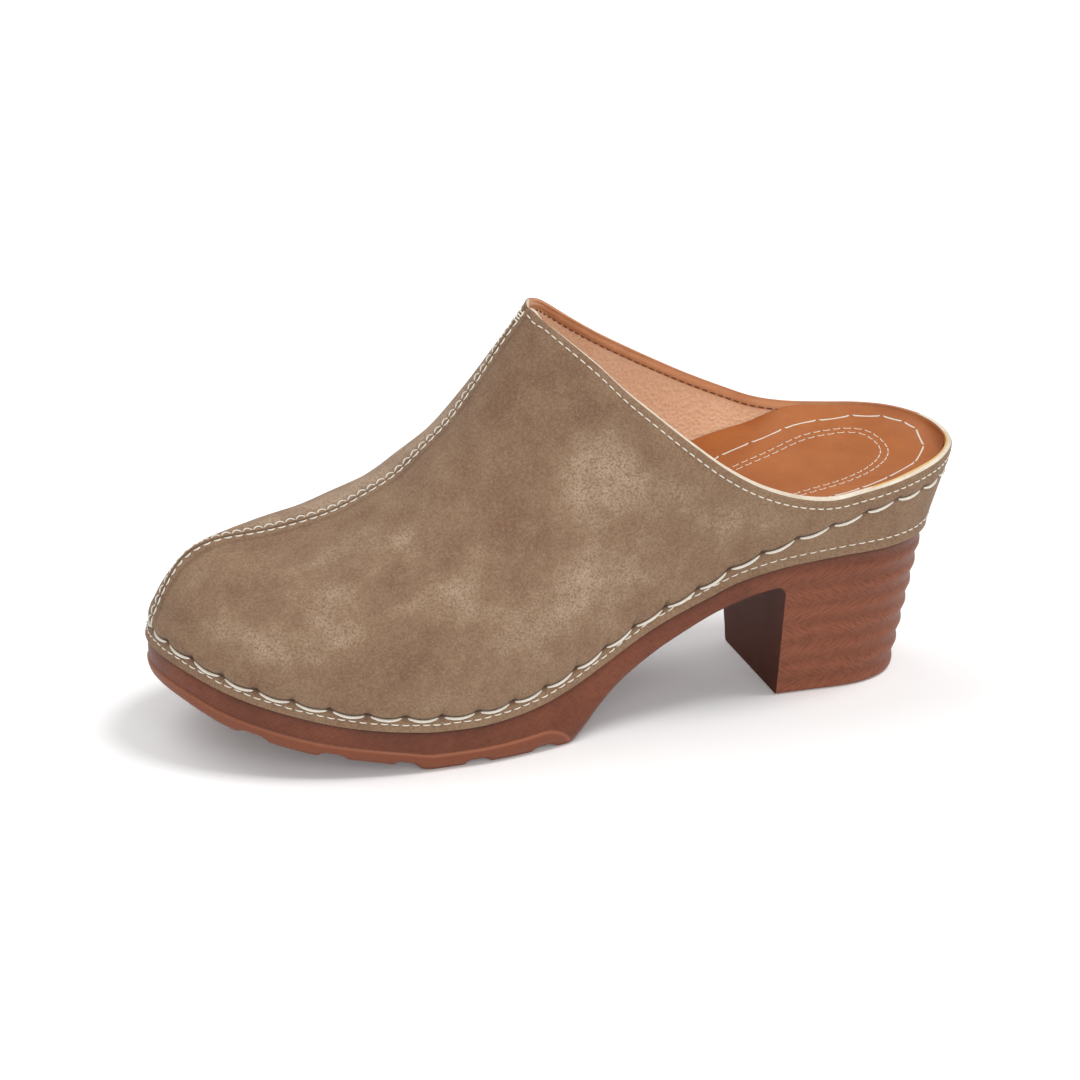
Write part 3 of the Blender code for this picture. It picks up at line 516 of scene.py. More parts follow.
class Skin:
    """One side of the upper: smooth points, normals and the distances up its ribs."""

    def __init__(self, side):
        self.side = side
        self.shares = np.linspace(0.0, 1.0, FINE_STATIONS + 1)
        self.shares[1] = SEAM_SHARE
        xs = outline_stations(side, self.shares)
        seam = seam_path()
        corner = int(SEAM_CORNER * len(seam))
        seam_tops = resample(seam[corner:], self.shares[:PEAK_RIB + 1] / self.shares[PEAK_RIB])
        back = (self.shares[PEAK_RIB:] - PEAK_SHARE) / (1.0 - PEAK_SHARE)
        collar_tops = resample(collar_path(side), 1.0 - (1.0 - back) ** COLLAR_SPREAD)
        tops = np.concatenate([seam_tops, collar_tops[1:]])
        steps = np.gradient(seam_tops, axis=0)
        points, rows, stitches = [], [], []
        for i, (x, place) in enumerate(zip(xs, self.shares)):
            plan = outline_point(x, side, RAND_OVERHANG)
            foot = np.array([plan[0], plan[1], edge_height(x) + CLEARANCE])
            if i == 0:
                curve = np.concatenate([[foot], seam[:corner + 1]])
            else:
                slope = steps[i][2] / min(steps[i][0], -1e-7) if i <= PEAK_RIB else 0.0
                curve = rib_curve(place, side, foot, tops[i], slope)
            run = lengths(curve)
            stitch = RIBS.read("stitch", place)
            row = fine_rows(run[-1], stitch)
            points.append(read_rows(row, run, curve))
            rows.append(row)
            stitches.append(stitch)
        self.points = np.array(points)
        self.rows = np.array(rows)
        self.stitch = np.array(stitches)
        self.total = self.rows[:, -1]
        self.soften_peak()
        along, up = np.gradient(self.points, axis=0), np.gradient(self.points, axis=1)
        self.normals = unit(np.cross(along, up) * side)
        up = unit(self.points[:, -1] - self.points[:, -3])
        along = unit(np.gradient(self.points[:, -1], axis=0))
        slant = np.linalg.norm(np.cross(up, along), axis=1)
        self.slant = np.where(self.shares < PEAK_SHARE, slant[PEAK_RIB + 2], slant)

    def soften_peak(self):
        """Evens the surface across the rib of the peak, away from its upper edge."""
        first, last = PEAK_RIB - PEAK_SPREAD, PEAK_RIB + PEAK_SPREAD
        free = np.clip((self.total[:, None] - self.rows) / 0.012, 0.0, 1.0)
        ends = np.clip(1.0 - np.abs(np.arange(FINE_STATIONS + 1) - PEAK_RIB) / PEAK_SPREAD, 0.0, 1.0)
        weight = (0.5 * free * ends[:, None])[first:last, :, None]
        for _ in range(60):
            mean = 0.5 * (self.points[first - 1:last - 1] + self.points[first + 1:last + 1])
            self.points[first:last] += weight * (mean - self.points[first:last])

    def owner(self, i, upper):
        """The side that holds a rib's point, or 0 where both do; upper is true on the upper edge."""
        return 0 if i in (0, FINE_STATIONS) or (upper and i <= PEAK_RIB) else self.side

    def sample(self, field, share, distance):
        """A field of the grid at a share of the outline and a distance up the rib."""
        i = min(int(np.searchsorted(self.shares, share, side="right")) - 1, FINE_STATIONS - 1)
        f = (share - self.shares[i]) / (self.shares[i + 1] - self.shares[i])
        first, second = [read_rows(distance, self.rows[n], field[n]) for n in (i, i + 1)]
        return (1.0 - f) * first + f * second


# Materials of the upper's faces, by their place in its list
NUBUCK, CUT_EDGE, LINING, FACING, GLUE = range(5)


def join_sides(skins):
    """Gives both sides the same normals where they meet."""
    left, right = skins[1], skins[-1]
    last = left.points.shape[1] - 1
    for i in range(FINE_STATIONS + 1):
        for j in ([last] if 0 < i <= PEAK_RIB else range(last + 1) if i in (0, FINE_STATIONS) else []):
            mean = left.normals[i, j] + right.normals[i, j]
            if (i, j) == (0, last):
                mean = left.normals[i, j - 2] + right.normals[i, j - 2] + left.normals[3, j]
            if i in (0, FINE_STATIONS):
                mean[1] = 0.0
            mean /= np.linalg.norm(mean)
            left.normals[i, j] = mean
            right.normals[i, j] = mean


def scallop(phase):
    """Height of the saddle thread over the channel's line, by the place between two holes."""
    return HOLE_RISE - SCALLOP_SAG * np.sin(np.pi * np.clip(phase, 0.0, 1.0)) ** 0.8


# Soft troughs and ridges of the vamp: place on the outline, share of the rib's
# height, their reach along and up, and their height in metres, for each side
CREASES = (
    (1, 0.400, 0.30, 0.060, 0.16, -0.00045),
    (1, 0.480, 0.22, 0.050, 0.14, 0.00035),
    (1, 0.330, 0.55, 0.050, 0.20, -0.00030),
    (1, 0.560, 0.35, 0.060, 0.20, -0.00040),
    (1, 0.200, 0.45, 0.060, 0.20, 0.00030),
    (-1, 0.400, 0.35, 0.060, 0.16, -0.00050),
    (-1, 0.500, 0.25, 0.060, 0.16, 0.00040),
    (-1, 0.300, 0.55, 0.060, 0.20, -0.00030),
    (-1, 0.620, 0.35, 0.070, 0.20, -0.00040),
)


def crease_field(skin):
    """Low relief of the creases over one side."""
    total = np.zeros(skin.rows.shape)
    up = skin.rows / skin.total[:, None]
    for side, place, height_share, along, reach, height in CREASES:
        if side == skin.side:
            far = ((skin.shares[:, None] - place) / along) ** 2 + ((up - height_share) / reach) ** 2
            total += height * np.exp(-far)
    return total


# Lighter and darker clouds of colour; the lighter ones are mottling of the nap, except the two broad
# ones high on the medial side, which are a painted highlight on its top strip. Columns: side, place
# on the outline, share of the rib's height, their reach along and up in metres, and their strength,
# below zero where darker
MOTTLES_AND_HIGHLIGHTS = (
    (1, 0.095, 0.79, 0.008, 0.005, 0.60), (1, 0.158, 0.65, 0.009, 0.005, 0.50),
    (1, 0.290, 0.67, 0.007, 0.004, 0.80), (1, 0.217, 0.73, 0.008, 0.005, 0.50),
    (1, 0.370, 0.49, 0.006, 0.008, 0.60), (1, 0.346, 0.40, 0.010, 0.005, 0.90),
    (1, 0.196, 0.49, 0.007, 0.004, 0.80), (1, 0.225, 0.36, 0.008, 0.008, 0.90),
    (1, 0.108, 0.35, 0.007, 0.007, 0.55), (1, 0.163, 0.26, 0.006, 0.006, 0.50),
    (1, 0.408, 0.26, 0.009, 0.008, 0.90), (1, 0.196, 0.18, 0.010, 0.006, 0.30),
    (1, 0.521, 0.49, 0.008, 0.009, 0.95), (1, 0.546, 0.58, 0.009, 0.009, 0.70),
    (1, 0.575, 0.60, 0.008, 0.007, 0.90), (1, 0.558, 0.31, 0.009, 0.009, 0.85),
    (1, 0.521, 0.23, 0.009, 0.008, 0.85), (1, 0.404, 0.78, 0.003, 0.006, 0.65),
    (1, 0.392, 0.88, 0.003, 0.008, 0.40), (1, 0.592, 0.51, 0.007, 0.008, 0.25),
    (1, 0.583, 0.80, 0.005, 0.006, 0.40), (1, 0.658, 0.64, 0.007, 0.006, 0.35),
    (1, 0.454, 0.19, 0.008, 0.006, 0.50), (1, 0.483, 0.26, 0.008, 0.008, 0.60),
    (1, 0.490, 0.86, 0.026, 0.026, -0.75), (1, 0.440, 0.52, 0.010, 0.016, -0.50),
    (1, 0.280, 0.52, 0.014, 0.006, -0.45), (1, 0.120, 0.55, 0.012, 0.007, -0.40),
    (1, 0.300, 0.20, 0.014, 0.006, -0.40), (1, 0.740, 0.50, 0.030, 0.014, 0.45),
    (-1, 0.250, 0.94, 0.060, 0.014, 1.20), (-1, 0.420, 0.93, 0.030, 0.014, 1.00),
    (-1, 0.180, 0.40, 0.009, 0.007, 0.70), (-1, 0.260, 0.30, 0.008, 0.008, 0.80),
    (-1, 0.340, 0.45, 0.009, 0.006, 0.80), (-1, 0.430, 0.35, 0.008, 0.009, 0.80),
    (-1, 0.520, 0.50, 0.008, 0.009, 0.80), (-1, 0.580, 0.35, 0.009, 0.008, 0.70),
    (-1, 0.480, 0.75, 0.020, 0.020, -0.50), (-1, 0.100, 0.35, 0.008, 0.006, 0.50),
)


def cloud_field(skin):
    """Strength of the clouds over one side: mottling of the nap and a painted highlight."""
    total = np.zeros(skin.rows.shape)
    for side, place, height_share, along, reach, strength in MOTTLES_AND_HIGHLIGHTS:
        if side == skin.side:
            aside = (skin.shares[:, None] - place) * LENGTH * 1.1 / along
            above = (skin.rows - height_share * skin.total[:, None]) / reach
            total += strength * np.exp(-0.7 * (aside ** 2 + above ** 2))
    return np.clip(total, -1.0, 1.1)


def dress(skin):
    """Outer face of one side with its channel, swell, seam and creases, and what shades it."""
    place = skin.shares[:, None]
    t = skin.rows - skin.stitch[:, None]
    line = np.array([skin.sample(skin.points, s, d) for s, d in zip(skin.shares, skin.stitch)])
    skin.line_run = lengths(line)
    skin.count = round(skin.line_run[-1] / SADDLE_PITCH)
    skin.pitch = skin.line_run[-1] / skin.count
    phase = ((skin.line_run / skin.pitch - SADDLE_PHASE) % 1.0)[:, None]
    to_hole = np.minimum(phase, 1.0 - phase) * skin.pitch
    fade = np.clip((PUFF_END - place) / 0.1, 0.0, 1.0)
    depth = GROOVE_DEPTH * (HEEL_GROOVE + (1.0 - HEEL_GROOVE) * fade)
    sagged = t - scallop(phase)
    channel = np.exp(-(sagged / CHANNEL_REACH) ** 2)
    holes = np.exp(-(to_hole / HOLE_REACH) ** 2 - ((t - CHANNEL_REACH) / CHANNEL_REACH) ** 2)
    swell = np.exp(-((t - SWELL_PLACE) / SWELL_REACH) ** 2) * (0.45 + 0.55 * np.sin(np.pi * phase))
    relief = RAND_FLARE * np.exp(-(skin.rows / FLARE_REACH) ** 2) - depth * channel - HOLE_DEPTH * holes
    relief += PUFF_HEIGHT * (0.4 + 0.6 * fade) * swell
    relief += crease_field(skin)
    across = np.abs(skin.points[:, :, 1])
    over = np.clip(t / 0.001, 0.0, 1.0) * (place <= PEAK_SHARE + 1e-6)
    strip = np.clip((STRIP_HALF - across) / STRIP_SLOPE, 0.0, 1.0)
    groove = np.exp(-(across / PARTING_REACH) ** 2)
    relief += over * (SEAM_RISE * strip * strip * (3.0 - 2.0 * strip) - PARTING_DEPTH * groove)
    behind = place >= PEAK_SHARE
    relief -= EDGE_ROUND * behind * np.exp(-((skin.total[:, None] - skin.rows) / 0.0003) ** 2)
    skin.outer = skin.points + skin.normals * relief[:, :, None]
    skin.outer[:, 0, 2] = skin.points[:, 0, 2]
    below = (skin.total[:, None] - skin.rows) * skin.slant[:, None]
    rim = np.where(place < PEAK_SHARE, across, below)
    skin.cloud = cloud_field(skin)
    # The medial side's clouds reach close to the seam, so the painted highlight of its top strip shows there.
    reach = 0.014 if skin.side > 0 else 0.002
    open_share = np.clip(np.minimum(t, rim) / reach, 0.0, 1.0)
    skin.open = open_share * open_share * (3.0 - 2.0 * open_share)
    seam_shade = over * (0.35 * np.exp(-((across - 0.0029) / 0.0004) ** 2) + 0.8 * groove)
    thread_shade = 0.95 * np.exp(-((sagged - 0.0006) / 0.0005) ** 2)
    skin.shade = np.clip(thread_shade + 0.9 * holes + seam_shade, 0.0, 1.0)


def mark_vertices(thing, marks, **others):
    """Numbers on the vertices, which the materials read; the others are for unmarked vertices."""
    for name, values in marks.items():
        layer = thing.data.attributes.new(name, "FLOAT", "POINT")
        other = others.get(name, 0.0)
        numbers = [values.get(n, other) for n in range(len(thing.data.vertices))]
        layer.data.foreach_set("value", np.array(numbers, dtype=np.float32))


def make_piece(name, vertices, faces, materials, sharp=None, kinds=()):
    """A closed piece on the root; kinds holds each face's material, sharp the angle of hard edges."""
    mesh = bpy.data.meshes.new(name)
    mesh.from_pydata(vertices, [], faces)
    builder = bmesh.new()
    builder.from_mesh(mesh)
    for face, kind in zip(builder.faces, kinds):
        face.material_index = kind
    bmesh.ops.recalc_face_normals(builder, faces=builder.faces)
    builder.to_mesh(mesh)
    builder.free()
    mesh.shade_smooth()
    if sharp is not None:
        mesh.set_sharp_from_angle(angle=math.radians(sharp))
    for material in materials:
        mesh.materials.append(material)
    thing = bpy.data.objects.new(name, mesh)
    bpy.context.scene.collection.objects.link(thing)
    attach(thing, "root")
    return thing


def lining_points(skin, i):
    """Inner face of one rib: lining and facing band, pared thin towards the collar."""
    place, total, rows = skin.shares[i], skin.total[i], skin.rows[i]
    facing = total - min(FACING_WIDTH / skin.slant[i], 0.35 * (total - skin.stitch[i]))
    levels = np.concatenate([np.linspace(0.0, facing, LINING_ROWS), np.linspace(facing, total, FACING_ROWS)])
    thin = 0.5 * smooth_step((place - PEAK_SHARE + 0.02) / 0.02)
    thin *= 1.0 - smooth_step((place - 0.80) / 0.1)
    points = []
    for n, level in enumerate(levels):
        lift = WALL * (1.0 - thin * smooth_step(1.0 - (total - level) / 0.0025))
        if i > PEAK_RIB and n >= LINING_ROWS:
            lift += FACING_RISE
        points.append(read_rows(level, rows, skin.points[i])
                      - lift * unit(read_rows(level, rows, skin.normals[i])))
    points[0][2] = edge_height(points[0][0]) + CLEARANCE
    if skin.side > 0 and i > PEAK_RIB:
        rise = EDGE_BEVEL * (1.0 - smooth_step((place - 0.84) / 0.08))
        points[-1][2] += rise * smooth_step((i - PEAK_RIB) / 6.0)
    return points


def build_upper(skins, shift, materials):
    """The dressed upper: nubuck outside, cut edge, facing band and lining inside."""
    shape = Shape()
    kinds, marks = [], {"open": {}, "shade": {}, "cloud": {}}

    def quad(first, second, k, kind):
        """A face between two rows of vertex numbers, of one kind of material."""
        shape.face(first[k], first[k + 1], second[k + 1], second[k])
        kinds.extend([kind] * (len(shape.faces) - len(kinds)))

    for side in SIDES:
        skin = skins[side]
        last = skin.rows.shape[1] - 1
        outer, inner = [], []
        for i in range(FINE_STATIONS + 1):
            row = []
            for j in range(last + 1):
                row.append(shape.vertex(("outer", skin.owner(i, j == last), i, j), skin.outer[i, j] + shift))
                for name, field in (("open", skin.open), ("shade", skin.shade), ("cloud", skin.cloud)):
                    marks[name].setdefault(row[-1], field[i, j])
            outer.append(row)
            points = lining_points(skin, i)
            inner.append([shape.vertex(("inner", skin.owner(i, n == len(points) - 1), i, n), point + shift)
                          for n, point in enumerate(points)])
        for i in range(FINE_STATIONS):
            collar = i >= PEAK_RIB
            for j in range(last):
                quad(outer[i], outer[i + 1], j, NUBUCK)
            for n in range(len(inner[i]) - 1):
                quad(inner[i], inner[i + 1], n, FACING if collar and n >= LINING_ROWS - 1 else LINING)
            quad([outer[i][0], inner[i][0]], [outer[i + 1][0], inner[i + 1][0]], 0, LINING)
            if collar:
                place = skin.shares[i]
                bound = side < 0 and PEAK_SHARE + 0.015 < place < 0.93
                kind = FACING if bound else CUT_EDGE
                glued = side > 0 and 0.80 < place < 0.975
                across = []
                for k in (i, i + 1):
                    middle = shape.between(outer[k][-1], inner[k][-1], 0.65)
                    key = ("edge", 0 if k in (PEAK_RIB, FINE_STATIONS) else side, k)
                    across.append([outer[k][-1], shape.vertex(key, middle), inner[k][-1]])
                quad(across[0], across[1], 0, kind)
                quad(across[0], across[1], 1, GLUE if glued else kind)
    thing = make_piece("upper_leather", shape.vertices, shape.faces, materials, 50.0, kinds)
    mark_vertices(thing, marks, open=1.0)
    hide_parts("upper")
    return thing


def thread_mesh(name, paths, material, sides=8):
    """Round threads in one mesh; a path holds points, normals and radii."""
    vertices, faces = [], []
    turns = np.linspace(0.0, 2.0 * math.pi, sides, endpoint=False)
    for points, normals, radii in paths:
        tangents = unit(np.gradient(np.array(points), axis=0))
        flat = unit(np.cross(tangents, np.array(normals)))
        upright = np.cross(flat, tangents)
        start = len(vertices)
        for p, a, b, r in zip(points, flat, upright, radii):
            vertices += [tuple(p + r * (math.cos(turn) * a + math.sin(turn) * b)) for turn in turns]
        for low in range(start, len(vertices) - sides, sides):
            for s in range(sides):
                n = (s + 1) % sides
                faces.append((low + s, low + n, low + sides + n, low + sides + s))
        faces.append(tuple(range(start, start + sides)))
        faces.append(tuple(reversed(range(len(vertices) - sides, len(vertices)))))
    return make_piece(name, vertices, faces, [material])


def running_stitches(line, normals, pitch, length, radius, bow=0.0, centre=0.0):
    """Short stitches along a line on a surface; bow pulls their ends towards the centre line."""
    run = lengths(line)
    shares = np.linspace(0.0, 1.0, THREAD_ENDS)
    arch = np.sin(np.pi * shares)
    paths = []
    start = 0.0
    while start + length < run[-1]:
        at = start + length * shares
        ups = unit(read_rows(at, run, normals))
        points = read_rows(at, run, line) + ups * (radius * (1.5 * arch ** 0.5 - 0.7))[:, None]
        points[:, 1] += (1.0 - arch) * bow * np.sign(centre - points[:, 1])
        paths.append((points, ups, radius * (0.72 + 0.28 * arch)))
        start += pitch
    return paths


def skin_line(skin, shares, distances, field):
    """Points of a field of one side along a line."""
    return np.array([skin.sample(field, s, d) for s, d in zip(shares, distances)])


def saddle_stitches(skin, shift):
    """Thick threads in the channel, hanging in scallops between their holes."""
    paths = []
    for k in range(-1, skin.count):
        start = (k + SADDLE_PHASE) * skin.pitch + 0.5 * SADDLE_GAP
        end = start + skin.pitch - SADDLE_GAP
        start, end = max(start, 0.0002), min(end, skin.line_run[-1] - 0.0002)
        if end - start < 0.3 * SADDLE_PITCH:
            continue
        at = np.linspace(start, end, SADDLE_ENDS)
        shares = np.interp(at, skin.line_run, skin.shares)
        phase = (at / skin.pitch - SADDLE_PHASE) - k
        distances = np.interp(shares, skin.shares, skin.stitch) + scallop(phase)
        points, normals = [skin_line(skin, shares, distances, field) for field in (skin.outer, skin.normals)]
        arch = np.sin(np.pi * np.linspace(0.0, 1.0, SADDLE_ENDS)) ** 0.45
        lift = SADDLE_RADIUS * (2.0 * arch - 1.25)
        twist = 1.0 + 0.07 * np.cos(2.0 * math.pi * at / TWIST_PITCH)
        paths.append((points + normals * lift[:, None] + shift, normals,
                      SADDLE_RADIUS * (0.55 + 0.45 * arch) * twist))
    return paths


def insole_surface(skins, shift):
    """Fine footbed: its wall, and its top as a grid from side to side."""
    shape = Shape()
    walls = {}
    for side in SIDES:
        skin = skins[side]
        table = []
        for i in range(0, FINE_STATIONS + 1, 2):
            normal = skin.normals[i]
            lining = skin.points[i] - normal * (WALL + BED_CLEARANCE)
            lining[0][2] = edge_height(lining[0][0]) + CLEARANCE
            rim = bed_rim(lining, side)
            high = smooth_step((skin.shares[i] - (0.76 if side < 0 else 0.91)) / 0.05)
            under_edge = float(np.interp(lining[-1][2] - BED_GAP, lining[:, 2], range(len(lining))))
            rim += high * max(0.0, under_edge - rim)
            owner = 0 if i in (0, FINE_STATIONS) else side
            points = read_rows(np.arange(BED_ROWS + 1) * rim / BED_ROWS, range(len(lining)), lining)
            table.append([shape.vertex((owner, i, j), point) for j, point in enumerate(points)])
        shape.grid(table)
        walls[side] = table

    def top_point(left, right, share):
        point = shape.between(left, right, share)
        middle = shape.between(left, right, 0.5)
        centre = edge_height(middle[0]) + BED_HEEL * BED.read("centre", middle[0] / LENGTH)
        width = np.linalg.norm(np.array(shape.vertices[left]) - np.array(shape.vertices[right]))
        dish = min(1.0, width / (0.5 * BALL_WIDTH))
        point[2] += dish * (centre - middle[2]) * (4.0 * share * (1.0 - share)) ** BED_FLATNESS
        return point

    def under_point(left, right, share):
        point = shape.between(left, right, share)
        point[2] = edge_height(point[0]) + CLEARANCE
        return point

    for name, end, point, count in (("top", -1, top_point, 28), ("under", 0, under_point, 4)):
        shape.strips(name, [row[end] for row in walls[1]], [row[end] for row in walls[-1]], point, count)
    shape.move(shift)
    return shape


# Rows of stitches in the footbed, in metres from the plane x = 0 and from the middle
BED_HOLES = ((0.0740, -0.0150), (0.0636, -0.0181), (0.0533, -0.0204), (0.0422, -0.0218),
             (0.0308, -0.0227), (0.0200, -0.0225), (0.0115, -0.0185), (0.0068, -0.0126),
             (0.0047, -0.0076), (0.0058, 0.0017), (0.0121, 0.0104), (0.0244, 0.0200),
             (0.0348, 0.0244), (0.0443, 0.0262), (0.0540, 0.0275), (0.0640, 0.0280))
BED_PAD = ((0.0720, -0.0080), (0.0620, -0.0100), (0.0530, -0.0122), (0.0420, -0.0152),
           (0.0320, -0.0168), (0.0240, -0.0168), (0.0185, -0.0140), (0.0160, -0.0085),
           (0.0160, -0.0020), (0.0186, 0.0038), (0.0250, 0.0108), (0.0320, 0.0153),
           (0.0394, 0.0180), (0.0460, 0.0192), (0.0540, 0.0202), (0.0640, 0.0215))


def plan_path(points):
    """Smooth plan path through given points."""
    knots = [np.array([x, y, 0.0]) for x, y in points]
    return smooth_path(knots, 2.0 * knots[0] - knots[1], 2.0 * knots[-1] - knots[-2])


def drop_on(tree, path, shift):
    """Points and normals where a plan path meets the surface below it."""
    casts = [tree.ray_cast(Vector((p[0] + shift[0], p[1] + shift[1], 0.3)), Vector((0, 0, -1))) for p in path]
    hits = [cast for cast in casts if cast[0] is not None]
    return np.array([hit[0] for hit in hits]), np.array([hit[1] for hit in hits])


def offset_plan(path, distance):
    """The path moved sideways in plan."""
    tangents = np.gradient(path, axis=0)
    return path + distance * unit(tangents[:, (1, 0, 2)] * (-1.0, 1.0, 0.0))


def fine_sections():
    """Places of the dressed sole's sections from the toe to the back."""
    toe_start = LENGTH * TOE_CAPS[-1]
    heel_start = LENGTH * HEEL_CAP
    cap = [toe_start + (LENGTH - toe_start) * math.cos(math.radians(a)) for a in np.arange(0, 60, 1.5)]
    body = list(np.arange(HEEL_SET + 0.02, LENGTH - 0.012, SOLE_STEP))
    fillet = [BREAST + BREAST_FILLET * share for share in (0.08, 0.2, 0.35, 0.5, 0.7, 1.0)]
    back = [heel_start - (heel_start - HEEL_SET) * math.sin(math.radians(a))
            for a in np.arange(5, 90.1, 2.5)]
    return sorted({round(float(x), 6) for x in [*cap, *body, *fillet, BREAST, *back]}, reverse=True)


def rib_groove(z):
    """Depth of the groove between two ribs at a height, as a share of the full depth."""
    top = HEEL_HEIGHT - TOP_BAND
    if z > top + RIB_RISE * 0.5:
        return 0.0
    turn = (top - z) / RIB_RISE
    nearest = min(max(round(turn), 0), RIB_COUNT)
    reach = 0.26 if turn > nearest else 0.40
    return math.exp(-((turn - nearest) / reach) ** 2)


def heel_share(x):
    """How far the side at x is the heel block's: 1 behind the breast, 0 ahead of the blend."""
    return smooth_step((BREAST + BLEND - x) / BLEND)


def band_share(x):
    """How far the sole's lower band stands out at x."""
    return smooth_step((x / LENGTH - STEP_START) / STEP_FADE)


def fine_column(x, side):
    """Points down the dressed sole's side."""
    plan = outline_point(x, side)
    outward = outline_point(x, side, 1.0) - plan
    edge, low = edge_height(x), sole_low(x)
    heel = heel_share(x)
    step = STEP_OUT * band_share(x)
    ribbing = 0.7 * RIB_DEPTH * (RIB_FRONT + (1.0 - RIB_FRONT) * max(0.0, BREAST - x) / HEEL_DEPTH)
    lug = 0.65 * lug_depth(x)
    levels = []
    for share in np.linspace(0.0, 1.0, SIDE_ROWS) ** 0.95:
        above_low = max(0.0, (share - 0.80) / 0.20)
        levels.append((edge - share * (edge - low) + lug * above_low ** 0.7, share))
    if x <= BREAST:
        below = np.linspace(low, BASE_EDGE, HEEL_ROWS)[1:]
        levels += [(z, 1.0) for z in below] + [(BASE_EDGE * s, 1.0) for s in (0.6, 0.25, 0.06, 0.0)]
    points = []
    for z, share in levels:
        stepped = np.interp(share, SIDE.column("depth"), SIDE.column("step"))
        side_offset = step * stepped - EDGE_TUCK * SIDE.read("tuck", share)
        inset = BASE_INSET * max(0.0, 1.0 - z / HEEL_HEIGHT) + ribbing * rib_groove(z)
        if z < BASE_EDGE:
            inset += BASE_CORNER * BASE_EDGE * (1.0 - math.sqrt(max(0.0, 1.0 - (1.0 - z / BASE_EDGE) ** 2)))
        offset = (1.0 - heel) * side_offset - heel * inset
        point = np.array([*(plan + outward * offset), z])
        if x == BREAST:
            point[0] = BREAST
        points.append(point)
    return points


def build_sole(shift, materials):
    """The dressed sole: smooth ribs, stepped band, cross grooves, breast and base."""
    shape = Shape()
    sections = fine_sections()
    breast = sections.index(round(BREAST, 6))
    low_row = SIDE_ROWS - 1
    walls = {}
    marks = {name: {} for name in ("band", "rand_shadow", "groove", "row", "heel", "along", "height")}
    turns = np.linspace(0.0, 1.0, 400)
    for side in SIDES:
        table = []
        places = outline_stations(side, turns)[::-1]
        for i, x in enumerate(sections):
            owner = 0 if i in (0, len(sections) - 1) else side
            along = float(np.interp(x, places, turns[::-1])) * 1.1 * LENGTH
            heel, banded, edge = heel_share(x), band_share(x), edge_height(x)
            row = []
            for r, point in enumerate(fine_column(BREAST if i == breast else x, side)):
                row.append(shape.vertex((owner, i, r), point))
                depth = edge - point[2]
                turn = (HEEL_HEIGHT - TOP_BAND - point[2]) / RIB_RISE
                # Second number: a painted shadow under the rand's overhang, along the sole's top edge; the
                # third, the depth of the rib grooves, becomes painted shade in them.
                values = (banded * min(1.0, r / low_row) ** 0.95, math.exp(-depth / 0.0007),
                          heel * rib_groove(point[2]), 0.5 + 0.5 * heel * math.sin(math.pi * turn),
                          heel * (1.0 - math.exp(-depth / 0.006)), along, point[2])
                for name, value in zip(marks, values):
                    marks[name][row[-1]] = value
            table.append(row)
        shape.grid([row[:low_row + 1] for row in table])
        shape.grid([row[low_row:] for row in table[breast:]])
        walls[side] = table
    side_faces = len(shape.faces)

    def strips(name, count, pick):
        return shape.strips(name, pick(walls[1]), pick(walls[-1]), shape.between, count)

    strips("top", 6, lambda wall: [row[0] for row in wall])
    under = strips("under", 16, lambda wall: [row[low_row] for row in wall[:breast + 1]])
    front = strips("front", 16, lambda wall: wall[breast][low_row + 1:])
    base = strips("base", 16, lambda wall: [row[-1] for row in wall[breast + 1:]])
    shape.grid([under[-1], front[0]])
    shape.grid([front[-1], base[0]])
    shape.move(shift)
    # The faces across the sole take the second, darker rubber: painted shade.
    kinds = [0] * side_faces + [1] * (len(shape.faces) - side_faces)
    thing = make_piece("sole_rubber", shape.vertices, shape.faces, materials, 35.0, kinds)
    mark_vertices(thing, marks)
    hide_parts("sole")
    return thing


